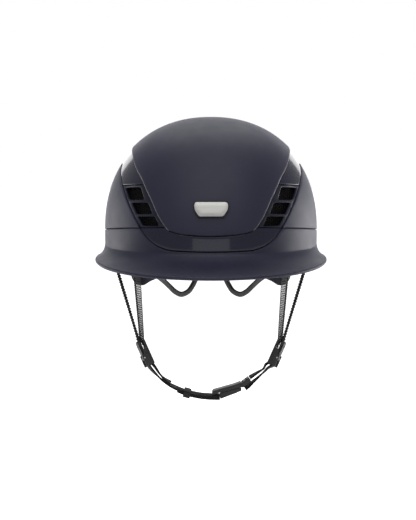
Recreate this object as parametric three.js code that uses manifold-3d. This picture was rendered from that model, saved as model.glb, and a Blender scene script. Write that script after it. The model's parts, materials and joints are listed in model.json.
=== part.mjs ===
// Equestrian riding helmet: shells, vents, impact liner, pads, dial-adjusted fit system and buckled harness.
// Millimetres, +Z up, front faces -Y, wearer's left is +X. The origin is the centre of the head opening.
import * as THREE from 'three';
import { mergeVertices } from 'three/addons/utils/BufferGeometryUtils.js';
import Module from 'manifold-3d';

const wasm = await Module();
wasm.setup();

// ---------- driving dimensions ----------
const halfWidth = 111.9; // of the shell at its widest, over the ears
const noseLength = 126; // from the origin to the shell's front wall
const napeLength = 139; // from the origin to the shell's rear wall
const crownRise = 116; // from the belt to the top of the shell
const skirtDepth = 250; // radius that tucks the wall in below the belt
const beltHeight = 36; // level of the widest section
const fullness = 2.18; // superellipse power of every section
const gap = 0.7; // joint line between two shell panels
const seamSlope = -0.07; // the waist seam rises towards the front
const seamHeight = 34.5;

// Depths below the shell's nominal skin: [outer face, inner face].
const layer = {
  crown: [1.5, -1.6],
  gloss: [-0.9, -3.0],
  matte: [0, -2.6],
  vent: [-1.1, -3.2],
  mesh: [-5.4, -6.4],
  liner: [-4.2, -24],
  pad: [-25, -31],
  brow: [-25, -31.5],
};

// Panel edges as heights over the angle from the front, in degrees: the same on both sides.
const crownEdge = smooth([
  [0, 34.5], [11, 35.8], [19, 39.5], [23.4, 49.8], [30.2, 71.9], [41, 94.1], [64, 114.5],
  [88, 120.5], [115, 116], [138, 102], [154, 84], [161, 74], [168, 71], [180, 70]]);
const glossEdge = smooth([
  [0, 18.2], [18, 19.2], [24.3, 22.3], [31.1, 31], [36.2, 42.9], [43.9, 61.9], [53.1, 79],
  [66, 93.8], [88, 105], [110, 102.5], [130, 88], [147, 66], [160, 53], [180, 48]]);
const rimEdge = smooth([[0, 3], [40, 4], [75, 8], [100, 7], [135, -2], [180, -8]]);
const lobeEdge = smooth([[30, -4], [35, -12], [42, -16.5], [53, -22.5], [62, -22], [74, -17.5], [84, -10]]);

// Brim outline in plan and the height of its edge.
const brim = { halfWidth: 119.6, centre: -52, front: 120, rear: 160, power: 2.05, lip: 1.5, thickness: 3.6 };
const brimEdgeHeight = smooth([
  [0, -4.6], [20, -3.4], [30, -1.7], [43, 1.4], [58, 5.2], [67, 7.3], [82, 8.6], [100, 8],
  [135, -0.5], [180, -6.5]]);
const flareTop = smooth([[0, 17], [60, 18.5], [90, 21], [120, 12], [180, 3]]);

const degrees = Math.PI / 180;
const halfTurn = [0, 8, 15, 20, 24, 30, 36, 44, 53, 64, 77, 90, 105, 120, 135, 148, 159, 169, 180];
const fullTurn = [...halfTurn, ...halfTurn.slice(1, -1).reverse().map((a) => -a)];

// ---------- materials ----------
const paint = (color, roughness, metalness = 0) =>
  new THREE.MeshStandardMaterial({ color, roughness, metalness });
const palette = {
  matteNavy: paint(0x2a2a38, 0.62),
  glossNavy: paint(0x1a1a28, 0.12),
  ventNavy: paint(0x22222f, 0.4),
  blackMesh: paint(0x0c0c0c, 0.8),
  steel: paint(0xd8d6d0, 0.3, 0.9),
  blackPlastic: paint(0x1e1e20, 0.5),
  greyPlastic: paint(0x4c4c4e, 0.5),
  foam: paint(0x303034, 0.9),
  navyFabric: paint(0x1c1d30, 0.95),
  webbing: paint(0x141414, 0.9),
  rubber: paint(0x101010, 0.8),
};

// ---------- curves ----------
// A smooth function through [x, y] points that never overshoots them; level at both ends.
function smooth(points) {
  const x = points.map((p) => p[0]);
  const y = points.map((p) => p[1]);
  const last = x.length - 1;
  const rise = (i) => (y[i + 1] - y[i]) / (x[i + 1] - x[i]);
  const slope = y.map((_, i) => {
    if (i === 0 || i === last || rise(i - 1) * rise(i) <= 0) return 0;
    return (2 * rise(i - 1) * rise(i)) / (rise(i - 1) + rise(i));
  });
  return (at) => {
    const a = Math.min(Math.max(Math.abs(at), x[0]), x[last]);
    const i = Math.max(0, x.findLastIndex((v, n) => v <= a && n < last));
    const h = x[i + 1] - x[i];
    const t = (a - x[i]) / h;
    return y[i] * (1 + 2 * t) * (1 - t) ** 2 + slope[i] * h * t * (1 - t) ** 2
      + y[i + 1] * t * t * (3 - 2 * t) - slope[i + 1] * h * t * t * (1 - t);
  };
}

const point = (x, y, z) => new THREE.Vector3(x, y, z);
const spline = (points, steps) => new THREE.CatmullRomCurve3(points.map((p) => point(...p))).getPoints(steps);

// ---------- the helmet's skin ----------
// Elevation parameter of a height on the skin: 0 at the belt and a quarter turn at the top.
function levelOf(z) {
  const share = (z - beltHeight) / (z > beltHeight ? crownRise : skirtDepth);
  return Math.sign(share) * Math.asin(Math.min(1, Math.abs(share) ** (fullness / 2)));
}

// A point on the skin, at an angle from the front and an elevation parameter, moved out along the normal.
function skin(angle, level, offset) {
  const tall = level > 0 ? crownRise : skirtDepth;
  const rise = Math.sign(level) * Math.abs(Math.sin(level)) ** (2 / fullness) * tall;
  const dx = Math.sin(angle * degrees);
  const dy = -Math.cos(angle * degrees);
  const length = dy < 0 ? noseLength : napeLength;
  const plan = (Math.abs(dx / halfWidth) ** fullness + Math.abs(dy / length) ** fullness) ** (-1 / fullness);
  const reach = plan * Math.max(0, Math.cos(level)) ** (2 / fullness);
  const p = point(dx * reach, dy * reach, rise);
  const pull = (v, radius) => (Math.sign(v) * Math.abs(v / radius) ** (fullness - 1)) / radius;
  const normal = point(pull(p.x, halfWidth), pull(p.y, length), pull(p.z, tall));
  return p.addScaledVector(normal.normalize(), offset).add(point(0, 0, beltHeight));
}

const skinAt = (angle, z, offset) => skin(angle, levelOf(z), offset);
const seamAt = (angle) => seamHeight + seamSlope * skinAt(angle, seamHeight, 0).y;

// ---------- solids ----------
function solidOf(geometry) {
  const bare = geometry.index ? geometry.toNonIndexed() : geometry.clone();
  const shape = new THREE.BufferGeometry().setAttribute('position', bare.getAttribute('position'));
  const merged = mergeVertices(shape, 1e-3);
  return new wasm.Manifold(new wasm.Mesh({
    numProp: 3,
    vertProperties: merged.attributes.position.array,
    triVerts: new Uint32Array(merged.index.array),
  }));
}

function geometryOf(solid) {
  const { vertProperties, triVerts } = solid.getMesh();
  const shape = new THREE.BufferGeometry();
  shape.setAttribute('position', new THREE.BufferAttribute(vertProperties, 3));
  return shape.setIndex(new THREE.BufferAttribute(triVerts, 1));
}

// Joins a row of sections, each a closed loop of the same even number of points, into one closed solid.
// A ring's last section joins its first; otherwise both ends are closed by strips across the loop.
function loft(sections, ring = false) {
  const count = sections[0].length;
  const vertices = sections.flat().flatMap((p) => [p.x, p.y, p.z]);
  const faces = [];
  const quad = (a, b, c, d) => faces.push([a, b, c], [a, c, d]);
  const spans = ring ? sections.length : sections.length - 1;
  for (let s = 0; s < spans; s += 1) {
    const here = s * count;
    const next = ((s + 1) % sections.length) * count;
    for (let k = 0; k < count; k += 1) {
      const after = (k + 1) % count;
      quad(here + k, here + after, next + after, next + k);
    }
  }
  if (!ring) {
    const end = (sections.length - 1) * count;
    for (let k = 0; k < count / 2 - 1; k += 1) {
      quad(k, count - 1 - k, count - 2 - k, k + 1);
      quad(end + k, end + k + 1, end + count - 2 - k, end + count - 1 - k);
    }
  }
  const raw = new THREE.BufferGeometry();
  raw.setAttribute('position', new THREE.Float32BufferAttribute(vertices, 3));
  const merged = mergeVertices(raw.setIndex(faces.flat()), 1e-3);
  const index = merged.index.array;
  const kept = [];
  let volume = 0;
  const corner = (i) => new THREE.Vector3().fromBufferAttribute(merged.attributes.position, i);
  for (let i = 0; i < index.length; i += 3) {
    const [a, b, c] = [index[i], index[i + 1], index[i + 2]];
    if (a !== b && b !== c && a !== c) {
      kept.push(a, b, c);
      volume += corner(a).dot(corner(b).cross(corner(c)));
    }
  }
  if (volume < 0) kept.reverse();
  return merged.setIndex(kept);
}

// A panel of the skin between two edges, each a height over the angle, with an outer and an inner face.
function panel(angles, top, bottom, [outer, inner], rows, ring = true) {
  const sections = angles.map((angle) => {
    const high = levelOf(top(angle));
    const low = levelOf(bottom(angle));
    const levels = Array.from({ length: rows + 1 }, (_, i) => high + ((low - high) * i) / rows);
    const down = levels.map((level) => skin(angle, level, outer));
    return [...down, ...levels.reverse().map((level) => skin(angle, level, inner))];
  });
  return loft(sections, ring);
}

// A flat band along a path. facing gives the direction that the band's broad face looks at each point.
function band(path, facing, width, thickness) {
  return loft(path.map((p, i) => {
    const along = path[Math.min(i + 1, path.length - 1)].clone().sub(path[Math.max(i - 1, 0)]).normalize();
    const across = along.clone().cross(facing(p, i / (path.length - 1), along)).normalize();
    const out = across.clone().cross(along);
    return [[1, 1], [-1, 1], [-1, -1], [1, -1]].map(([w, t]) => p.clone()
      .addScaledVector(across, (w * width) / 2).addScaledVector(out, (t * thickness) / 2));
  }));
}

// Faces a band so that its width runs in a given direction.
const widthAlong = (direction) => (p, t, along) => along.clone().cross(direction);

// A block with rounded corners in its XZ outline, centred on the origin, as deep as given along Y.
function tablet(width, height, depth, radius) {
  const x = width / 2 - radius;
  const z = height / 2 - radius;
  const outline = new THREE.Shape();
  outline.absarc(x, z, radius, 0, Math.PI / 2).absarc(-x, z, radius, Math.PI / 2, Math.PI);
  outline.absarc(-x, -z, radius, Math.PI, 1.5 * Math.PI).absarc(x, -z, radius, 1.5 * Math.PI, 2 * Math.PI);
  const block = new THREE.ExtrudeGeometry(outline, { depth, bevelEnabled: false, curveSegments: 3 });
  return block.translate(0, 0, -depth / 2).rotateX(Math.PI / 2);
}

const box = (x, y, z) => new THREE.BoxGeometry(x, y, z);
const rod = (radius, length, sides = 12) => new THREE.CylinderGeometry(radius, radius, length, sides);

// An outline in front elevation, [x, z] corners, pushed through from one Y to another.
function frontPrism(corners, fromY, toY) {
  const outline = new THREE.Shape(corners.map(([x, z]) => new THREE.Vector2(x, z)));
  const prism = new THREE.ExtrudeGeometry(outline, { depth: Math.abs(toY - fromY), bevelEnabled: false });
  return prism.rotateX(Math.PI / 2).translate(0, Math.max(fromY, toY), 0);
}

const helmet = new THREE.Group();
function add(name, geometry, material, parent = helmet) {
  const mesh = new THREE.Mesh(geometry, material);
  mesh.name = name;
  parent.add(mesh);
  return mesh;
}

// ---------- vents ----------
const ventLine = 79; // joint line between each vent insert and the frame behind it
const ventWindows = [ // corners of the three openings on the wearer's left, top to bottom
  [[72.2, 83.2], [88.8, 81.6], [84.6, 69.4], [68.2, 70.2]],
  [[64.3, 67.7], [82, 66.8], [76.6, 55.4], [59.6, 56.4]],
  [[57.2, 53.8], [75.2, 53], [70, 43.9], [52.6, 44.2]],
];
const mirrored = (corners, side) => corners.map(([x, z]) => [x * side, z]);
const ventReach = [-130, -25];

function glossRing() {
  return solidOf(panel(fullTurn, (a) => crownEdge(a) - gap, (a) => glossEdge(a) + gap, layer.gloss, 2));
}

// The space in front of the ears between two heights, across the whole helmet.
// Heights follow the seam's slope.
function frontSlab(low, high) {
  const [front, back] = [-140, 0];
  const side = (z, y) => z + seamSlope * y;
  const profile = [
    [front, side(low, front)], [back, side(low, back)], [back, side(high, back)], [front, side(high, front)],
  ];
  const slab = new THREE.ExtrudeGeometry(new THREE.Shape(profile.map(([y, z]) => new THREE.Vector2(y, z))),
    { depth: 260, bevelEnabled: false });
  const sideways = new THREE.Matrix4().set(0, 0, 1, -130, 1, 0, 0, 0, 0, 1, 0, 0, 0, 0, 0, 1);
  return solidOf(slab.applyMatrix4(sideways));
}

const halfSpace = (side) => solidOf(box(150, 300, 300).translate(side * 75.01, 0, 60));

function ventInsert(side) {
  const strip = panel(fullTurn, (a) => crownEdge(a) - gap, (a) => glossEdge(a) + gap, layer.vent, 3);
  const slab = frontSlab(seamHeight + gap / 2, ventLine);
  let insert = solidOf(strip).intersect(slab).intersect(halfSpace(side));
  for (const corners of ventWindows) {
    insert = insert.subtract(solidOf(frontPrism(mirrored(corners, side), ...ventReach)));
  }
  return geometryOf(insert);
}

// ---------- shells ----------
function upperShell() {
  const angles = [37, 44, 53, 64, 77, 90, 105, 120, 135, 148, 159, 169, 180];
  const sweep = [...angles, ...angles.slice(0, -1).reverse().map((a) => -a)];
  return panel(sweep, (a) => glossEdge(a) - gap / 2, (a) => seamAt(a) + gap / 2, layer.matte, 3, false);
}

// Where the brim ends, over the angle from the front: an oval that sinks into the wall behind the ears.
function brimReach(angle) {
  const wall = skinAt(angle, brimEdgeHeight(angle), brim.lip);
  const [dx, dy] = [Math.sin(angle * degrees), -Math.cos(angle * degrees)];
  const inside = (r) => {
    const y = r * dy - brim.centre;
    const length = y < 0 ? brim.front : brim.rear;
    return Math.abs((r * dx) / brim.halfWidth) ** brim.power + Math.abs(y / length) ** brim.power < 1;
  };
  let [near, far] = [0, 200];
  for (let i = 0; i < 24; i += 1) {
    const middle = (near + far) / 2;
    if (inside(middle)) near = middle; else far = middle;
  }
  const wallReach = Math.hypot(wall.x, wall.y);
  const blend = 3;
  return Math.log(Math.exp((near - wallReach) / blend) + 1) * blend + wallReach;
}

// Upper face of the brim from the wall to its edge: a concave flare.
function flare(angle, offset, steps) {
  const start = skinAt(angle, flareTop(angle), 0);
  const reach = brimReach(angle);
  const turn = angle * degrees;
  const edge = point(Math.sin(turn) * reach, -Math.cos(turn) * reach, brimEdgeHeight(angle));
  const bend = start.clone().lerp(edge, 0.06).setZ(start.z * 0.32 + edge.z * 0.68);
  const curve = new THREE.QuadraticBezierCurve3(start, bend, edge);
  return curve.getPoints(steps).slice(1).map((p) => p.add(point(0, 0, offset)));
}

function lowerShell() {
  const sections = fullTurn.map((angle) => {
    const top = Math.min(glossEdge(angle) - gap / 2, seamAt(angle) - gap / 2);
    const walls = [top, (top + flareTop(angle)) / 2, flareTop(angle)];
    const outer = walls.map((z) => skinAt(angle, z, layer.matte[0]));
    const upper = flare(angle, brim.thickness / 2, 4);
    const inTop = skinAt(angle, top, layer.matte[1]);
    const inBottom = skinAt(angle, rimEdge(angle), layer.matte[1]);
    const edge = upper[upper.length - 1].clone();
    const under = [0, 0.3, 0.65].map((t) => edge.clone().setZ(edge.z - brim.thickness).lerp(inBottom, t));
    return [...outer, ...upper, ...under, inBottom, inBottom.clone().lerp(inTop, 0.33),
      inBottom.clone().lerp(inTop, 0.66), inTop];
  });
  return loft(sections, true);
}

// The lining under the peak, from just inside the brim's edge back to the rim.
function brimLining() {
  const angles = [-76, -64, -53, -44, -36, -30, -24, -20, -15, -8, 0, 8, 15, 20, 24, 30, 36, 44, 53, 64, 76];
  return loft(angles.map((angle) => {
    const edge = flare(angle, -brim.thickness / 2, 4).pop();
    const rim = skinAt(angle, rimEdge(angle), layer.matte[1]);
    const face = [0.1, 0.35, 0.65, 0.93].map((t) => edge.clone().lerp(rim, t));
    const lowered = (drop) => face.map((p) => p.clone().add(point(0, 0, -drop)));
    return [...lowered(0.4), ...lowered(1.3).reverse()];
  }));
}

function addShells() {
  const crown = panel(fullTurn, () => beltHeight + crownRise, crownEdge, layer.crown, 8);
  add('crown_panel', crown, palette.matteNavy);
  add('upper_shell', upperShell(), palette.matteNavy);
  add('lower_shell', lowerShell(), palette.matteNavy);
  add('brim_lining', brimLining(), palette.foam);
  const ring = glossRing();
  const front = ring.intersect(frontSlab(-60, seamHeight - gap / 2));
  add('front_gloss_band', geometryOf(front), palette.glossNavy);
  const rear = ring.subtract(frontSlab(-60, ventLine + gap)).subtract(rearSlots());
  add('rear_gloss_frame', geometryOf(rear), palette.glossNavy);
  for (const [name, side] of [['left', 1], ['right', -1]]) {
    add(`vent_insert_${name}`, ventInsert(side), palette.ventNavy);
    const angles = [26, 30, 36, 44, 52].map((a) => a * side);
    const top = (a) => Math.min(85, crownEdge(a) + 2);
    const bottom = (a) => Math.max(40, glossEdge(a) - 1);
    add(`vent_mesh_${name}`, panel(angles, top, bottom, layer.mesh, 3, false), palette.blackMesh);
  }
  const exhaust = panel([160, 168, 180, -168, -160], () => 66, () => 50, layer.mesh, 2, false);
  add('rear_vent_mesh', exhaust, palette.blackMesh);
}

// Three exhaust slots in the gloss frame above the nape.
function rearSlots() {
  const slot = (x, width) => solidOf(tablet(width, 8, 60, 3).translate(x, 120, 59));
  return slot(0, 22).add(slot(-24, 17)).add(slot(24, 17));
}

// ---------- badge ----------
const badge = { width: 34, height: 14.6, z: 61, tilt: -10 * degrees, rim: 1.1, plate: 1.4 };

// A plate whose lower corners are cut back further than its upper ones, from one depth to another.
function badgePrism(grow, front, back) {
  const w = badge.width / 2 + grow;
  const h = badge.height / 2 + grow;
  const corners = [
    [w - 2.6, h], [w - 0.7, h - 0.8], [w, h - 2.8], [w - 0.6, -0.6], [w - 4.4, 0.9 - h], [w - 6, -h],
  ];
  const outline = [...corners, ...corners.map(([x, z]) => [-x, z]).reverse()];
  return frontPrism(outline, front, back);
}

function addBadge() {
  const frame = new THREE.Matrix4().makeRotationX(badge.tilt).setPosition(skinAt(0, badge.z, layer.crown[0]));
  const bedDepth = [layer.crown[0] + 0.3, -40];
  const bed = solidOf(panel(fullTurn, () => beltHeight + crownRise, crownEdge, bedDepth, 8));
  const rim = solidOf(badgePrism(badge.rim, -2.2, 5).applyMatrix4(frame)).subtract(bed);
  const pocket = solidOf(badgePrism(0.3, -9, -1).applyMatrix4(frame));
  add('badge_bezel', geometryOf(rim.subtract(pocket)), palette.blackPlastic);
  add('front_badge', badgePrism(0, -1.3 - badge.plate, -1.3).applyMatrix4(frame), palette.steel);
}

// ---------- impact liner and pads ----------
function impactLiner() {
  const bottom = (a) => rimEdge(a) - 1;
  let liner = solidOf(panel(fullTurn, () => beltHeight + crownRise, bottom, layer.liner, 10));
  for (const side of [1, -1]) {
    const pocket = panel([25, 30, 36, 44, 53].map((a) => a * side), (a) => Math.min(86, crownEdge(a) + 3),
      (a) => Math.max(38, glossEdge(a) - 2), [1, -12], 2, false);
    const duct = rod(8, 70, 16).rotateX(Math.PI / 2).rotateZ(40 * side * degrees);
    duct.translate(58 * side, -76, 61);
    liner = liner.subtract(solidOf(pocket)).subtract(solidOf(duct));
  }
  const exhaust = panel([158, 168, 180, -168, -158], () => 68, () => 48, [1, -12], 2, false);
  const rearDuct = rod(7, 60, 16).rotateX(Math.PI / 2).translate(0, 115, 59);
  return geometryOf(liner.subtract(solidOf(exhaust)).subtract(solidOf(rearDuct)));
}

function addLiner() {
  add('impact_liner', impactLiner(), palette.foam);
  const sealProfile = [[-3, -1.6], [-3, -3.6], [-7.4, -3.6], [-7.4, -1.6]];
  const seal = fullTurn.map((angle) =>
    sealProfile.map(([offset, rise]) => skinAt(angle, rimEdge(angle) + rise, offset)));
  add('rim_seal', loft(seal, true), palette.rubber);
  const brow = panel([-30, -20, -10, 0, 10, 20, 30], () => 33, () => 4, layer.brow, 2, false);
  add('brow_pad', brow, palette.navyFabric);
  for (const [name, side] of [['left', 1], ['right', -1]]) {
    const temple = [34, 40, 46, 54, 62, 68, 74, 80].map((a) => a * side);
    add(`temple_pad_${name}`, panel(temple, () => 26, lobeEdge, layer.pad, 2, false), palette.navyFabric);
    const nape = [112, 124, 136, 148].map((a) => a * side);
    add(`nape_pad_${name}`, panel(nape, () => 40, () => 8, layer.pad, 2, false), palette.navyFabric);
  }
  const everyOther = fullTurn.filter((_, i) => i % 2 === 0);
  const crownPad = panel(everyOther, () => beltHeight + crownRise, () => 118, layer.pad, 3);
  add('crown_pad', crownPad, palette.navyFabric);
}

// ---------- fit system ----------
const pivot = { x: 82, y: 1, z: 3, radius: 2.4 };
const clearance = 0.35; // between a pin and its hole
const dial = { y: 101.4, z: -12, radius: 12.5, ribs: 18 };

// A path on the oval that hugs the head, through [angle, height, offset] points.
const ovalPath = (points, steps) => spline(points, steps).map((p) => {
  const base = skinAt(p.x, p.y, 0);
  return base.addScaledVector(point(base.x, base.y, 0).normalize(), p.z);
});
const outward = (p) => point(p.x, p.y * 0.7, 0);

// The nape cradle: one band that dips into a loop on each side of the dial and runs forward to the arms.
function cradleFrame() {
  const half = [
    [104, -8, -33.2], [118, -12.5, -34.2], [132, -17, -35], [140, -20.5, -35.6], [146, -26, -36],
    [151.3, -33, -36.5], [155.5, -39, -37], [160.1, -42.2, -37], [164.9, -39.4, -37], [168.4, -32, -37],
    [171, -24, -37], [175, -17.5, -37], [180, -14, -37],
  ];
  const route = [...half, ...half.slice(0, -1).reverse().map(([a, z, depth]) => [360 - a, z, depth])];
  return band(ovalPath(route, 72), outward, 6, 2);
}

function fitArm() {
  const { x, y, z } = pivot;
  const route = [[x, y - 4.5, z], [x, y + 6, z], [x - 0.6, y + 16, z - 3], [x - 4.6, y + 32, z - 9]];
  const path = spline(route, 12);
  const hole = rod(pivot.radius + clearance, 8, 16).rotateZ(Math.PI / 2).translate(x, y, z);
  return geometryOf(solidOf(band(path, () => point(1, 0, 0), 9, 1.8)).subtract(solidOf(hole)));
}

function addFitSystem() {
  for (const [name, side] of [['left', 1], ['right', -1]]) {
    const half = new THREE.Group();
    half.scale.x = side;
    helmet.add(half);
    add(`fit_arm_${name}`, fitArm(), palette.blackPlastic, half);
    const head = rod(4, 1.2, 16).rotateZ(Math.PI / 2).translate(-1.9, 0, 0);
    const shank = rod(pivot.radius, 3.6, 16).rotateZ(Math.PI / 2).translate(0.5, 0, 0);
    const pin = geometryOf(solidOf(head).add(solidOf(shank)));
    add(`temple_pivot_${name}`, pin, palette.greyPlastic, half).position.set(pivot.x, pivot.y, pivot.z);
    add(`temple_bracket_${name}`, box(1.6, 12, 22), palette.blackPlastic, half)
      .position.set(pivot.x + 3.4, pivot.y, pivot.z + 7);
  }
  add('cradle_frame', cradleFrame(), palette.greyPlastic);
  addDial();
}

function addDial() {
  const assembly = new THREE.Group();
  assembly.position.set(0, dial.y, dial.z);
  helmet.add(assembly);
  const well = solidOf(rod(5.4, 10, 20).translate(0, 4.4, 0));
  const housing = solidOf(tablet(34, 17, 3.4, 6).translate(0, 3.1, 0)).subtract(well);
  add('dial_housing', geometryOf(housing), palette.blackPlastic, assembly);
  const knob = toothedDisc(dial.radius, dial.ribs, 0.9, 4);
  add('dial_knob', knob, palette.blackPlastic, assembly).position.y = 7.2;
  const pinion = toothedDisc(4.9, 9, 0.8, 3.4);
  add('dial_pinion', pinion, palette.greyPlastic, assembly).position.y = 3.2;
}

// A disc about Y with evenly spaced teeth round its edge.
function toothedDisc(radius, teeth, depth, thickness) {
  const outline = Array.from({ length: teeth * 4 }, (_, i) => {
    const reach = radius - (i % 4 < 2 ? 0 : depth);
    const turn = (i / (teeth * 4)) * 2 * Math.PI;
    return new THREE.Vector2(reach * Math.cos(turn), reach * Math.sin(turn));
  });
  const disc = new THREE.ExtrudeGeometry(new THREE.Shape(outline), { depth: thickness, bevelEnabled: false });
  return disc.translate(0, 0, -thickness / 2).rotateX(Math.PI / 2);
}

// ---------- harness ----------
const strap = { width: 15, thickness: 1.2 };
const divider = {
  centre: point(70, -5, -96.4), up: point(0.41, 0.148, 0.9), out: point(0.93, -0.21, -0.3),
};
const plate = { width: 18.4, length: 28, cheek: 1.3 };
const lever = { z: -5, y: -3.3, thickness: 1.8, pin: 1, barrel: 2 };
const loopBar = { z: -12.2, radius: 1.3 };
const frontAnchor = { at: point(76.6, -64, -3.2), out: point(0.8, -0.6, 0), layer: 0.9, twist: 1.2 };
const rearAnchor = { at: point(102.4, 20, -2.4), out: point(1, 0.05, -0.1), layer: -1.5, twist: 4 };

const dividerFrame = (() => {
  const up = divider.up.clone().normalize();
  const across = up.clone().cross(divider.out).normalize();
  return new THREE.Matrix4().makeBasis(across, up.clone().cross(across), up).setPosition(divider.centre);
})();
const onDivider = (x, y, z) => point(x, y, z).applyMatrix4(dividerFrame);
const dividerAcross = point(1, 0, 0).transformDirection(dividerFrame);
const alongX = (radius, length) => rod(radius, length, 12).rotateZ(Math.PI / 2);

function dividerBody() {
  const { width, length, cheek } = plate;
  const back = solidOf(tablet(width, length - 7, 1.4, 3).translate(0, 3.5, 3.5));
  const cheeks = [1, -1].map((side) => {
    const upright = solidOf(box(cheek, 6.4, 18).translate(0, 1, -5));
    const ear = solidOf(box(cheek, 9.4, 13).translate(0, -0.5, -7.5));
    return upright.add(ear).translate((side * (width - cheek)) / 2, 0, 0);
  });
  const pinHole = solidOf(alongX(lever.pin + clearance, 30).translate(0, lever.y, lever.z));
  const bar = solidOf(alongX(loopBar.radius, width - cheek).translate(0, 0, loopBar.z));
  return geometryOf(back.add(cheeks[0]).add(cheeks[1]).subtract(pinHole).add(bar));
}

// The cam lever that clamps the straps: a plate with a round dimple, and a barrel on its pin.
function dividerLever() {
  const width = plate.width - 2 * plate.cheek - 0.8;
  const flap = solidOf(tablet(width, 19, lever.thickness, 5).translate(0, lever.y, 4.6));
  const root = solidOf(box(width, lever.thickness, 8).translate(0, lever.y, -0.6));
  const barrel = solidOf(alongX(lever.barrel, width).translate(0, lever.y, lever.z));
  const bore = solidOf(alongX(lever.pin + clearance, 30).translate(0, lever.y, lever.z));
  const dimple = solidOf(rod(1.4, 8, 12).translate(0, lever.y, 8.5));
  return geometryOf(flap.add(root).add(barrel).subtract(bore).subtract(dimple));
}

// Where a side strap ends, flat inside the divider's throat.
const throatOf = ({ layer: depth }) => onDivider(0, depth, 9);

// A webbing anchor under the liner's rim, in line with its strap: a block with a pocket for the strap's end.
function addAnchor(name, hold, parent) {
  const pocket = solidOf(box(strap.width + 1, strap.thickness + 0.8, 5).translate(0, 0, -3));
  const block = geometryOf(solidOf(tablet(17.6, 5.6, 4.2, 1.6)).subtract(pocket));
  const up = hold.at.clone().sub(throatOf(hold)).normalize();
  const across = up.clone().cross(hold.out).normalize();
  const frame = new THREE.Matrix4().makeBasis(across, up.clone().cross(across), up).setPosition(hold.at);
  add(name, block.applyMatrix4(frame), palette.blackPlastic, parent);
}

// A side strap runs straight from its anchor into the throat of the divider, and twists to lie flat there.
function sideStrap(hold) {
  const end = throatOf(hold);
  const start = hold.at.clone().lerp(end, 0.008);
  const path = [0, 0.14, 0.28, 0.42, 0.56, 0.7, 0.8, 0.9, 1].map((t) => start.clone().lerp(end, t));
  const turn = (p, t) => hold.out.clone().lerp(divider.out, t ** hold.twist);
  return band(path, turn, strap.width, strap.thickness);
}

// The route of a strap that loops round the divider's lower bar, leaving it in a direction given in degrees
// from the divider's inward normal: both legs start square to the bar.
function loopRoundBar(exit, legLength) {
  const radius = loopBar.radius + clearance + strap.thickness / 2;
  const ahead = point(0, Math.cos(exit * degrees), Math.sin(exit * degrees)).multiplyScalar(legLength);
  const arc = [90, 120, 150, 180, 210, 240, 270].map((turn) => {
    const angle = (exit + turn) * degrees;
    return point(0, radius * Math.cos(angle), loopBar.z + radius * Math.sin(angle));
  });
  return [arc[0].clone().add(ahead), ...arc, arc[6].clone().add(ahead)].map((p) => onDivider(p.x, p.y, p.z));
}

for (const [name, side] of [['left', 1], ['right', -1]]) {
  const half = new THREE.Group();
  half.scale.x = side;
  helmet.add(half);
  addAnchor(`front_anchor_${name}`, frontAnchor, half);
  addAnchor(`rear_anchor_${name}`, rearAnchor, half);
  add(`front_strap_${name}`, sideStrap(frontAnchor), palette.webbing, half);
  add(`rear_strap_${name}`, sideStrap(rearAnchor), palette.webbing, half);
  const frame = new THREE.Group();
  frame.applyMatrix4(dividerFrame);
  half.add(frame);
  add(`divider_body_${name}`, dividerBody(), palette.greyPlastic, frame);
  add(`divider_lever_${name}`, dividerLever(), palette.greyPlastic, frame);
  const pin = add(`lever_pin_${name}`, alongX(lever.pin, plate.width), palette.steel, frame);
  pin.position.set(0, lever.y, lever.z);
}

// ---------- chin strap ----------
const buckle = { at: point(16, -10, -132.9), tilt: 14.4 * degrees, width: 18, magnetX: 3 };
const keeper = { at: point(-25.2, -9.6, -138.3), tilt: -15.5 * degrees };
const ladder = { at: point(36.7, -9.2, -126.6), tilt: 38 * degrees };
const chinAcross = point(0, 1, 0.13); // the chin strap's front edge hangs lower

// The strap's width turns from the divider's bar to straight fore and aft, over its first part.
const chinWidth = (bar) => (p, t, along) => {
  const share = Math.min(1, Math.abs(Math.abs(p.x) - loopCentre.x) / 24);
  return along.clone().cross(bar.clone().lerp(chinAcross, share));
};
const loopCentre = onDivider(0, 0, loopBar.z);
const atPoints = (points) => points.map((p) => point(...p));
const mirror = (path) => path.map((p) => p.multiply(point(-1, 1, 1)));

function chinStrapLeft() {
  const [inner, ...round] = loopRoundBar(-50, 6);
  const outer = round.pop();
  const threaded = [[40.9, -8.9, -122.2], [49.6, -8.3, -116.6], [55.2, -8, -113]];
  const free = [
    [57.4, -7.8, -115.2], [50.2, -8.3, -121.8], [44.6, -8.7, -126.6], [40.4, -9, -130.6], [36.4, -9.2, -134],
  ];
  const route = [...atPoints(threaded), inner, ...round, outer, ...atPoints(free)];
  return band(route, chinWidth(dividerAcross), strap.width, strap.thickness);
}

function chinStrapRight() {
  const [inner, ...round] = loopRoundBar(-76, 7);
  const outer = round.pop();
  const returned = [[42.6, -8.6, -127.8], [50.6, -8, -122.3], [54.2, -7.8, -118.4]];
  const main = [[56.4, -7.8, -120.6], [51.8, -8, -124.8], [43.2, -8.6, -130], [32.6, -9.2, -134.9],
    [25.2, -9.6, -137.4], [11.5, -10, -140.3], [1, -10, -141.2], [-8.5, -10, -141.4]];
  const path = mirror([...atPoints(returned), inner, ...round, outer, ...atPoints(main)]);
  return band(path, chinWidth(dividerAcross.clone().multiply(point(-1, 1, 1))), strap.width, strap.thickness);
}

function chinTailRight() {
  const path = atPoints([
    [-35.4, -9.1, -135.4], [-32, -9.2, -136.9], [-24.7, -9.6, -139.3], [-11.3, -10, -142.1],
    [-1, -10, -143.1], [8.5, -10, -143.3],
  ]);
  return band(path, (p, t, along) => along.clone().cross(chinAcross), strap.width, strap.thickness);
}

// A side profile, [x, z] corners, as wide as the buckle.
const buckleBlock = (profile, width) => solidOf(frontPrism(profile, -width / 2, width / 2));

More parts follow.
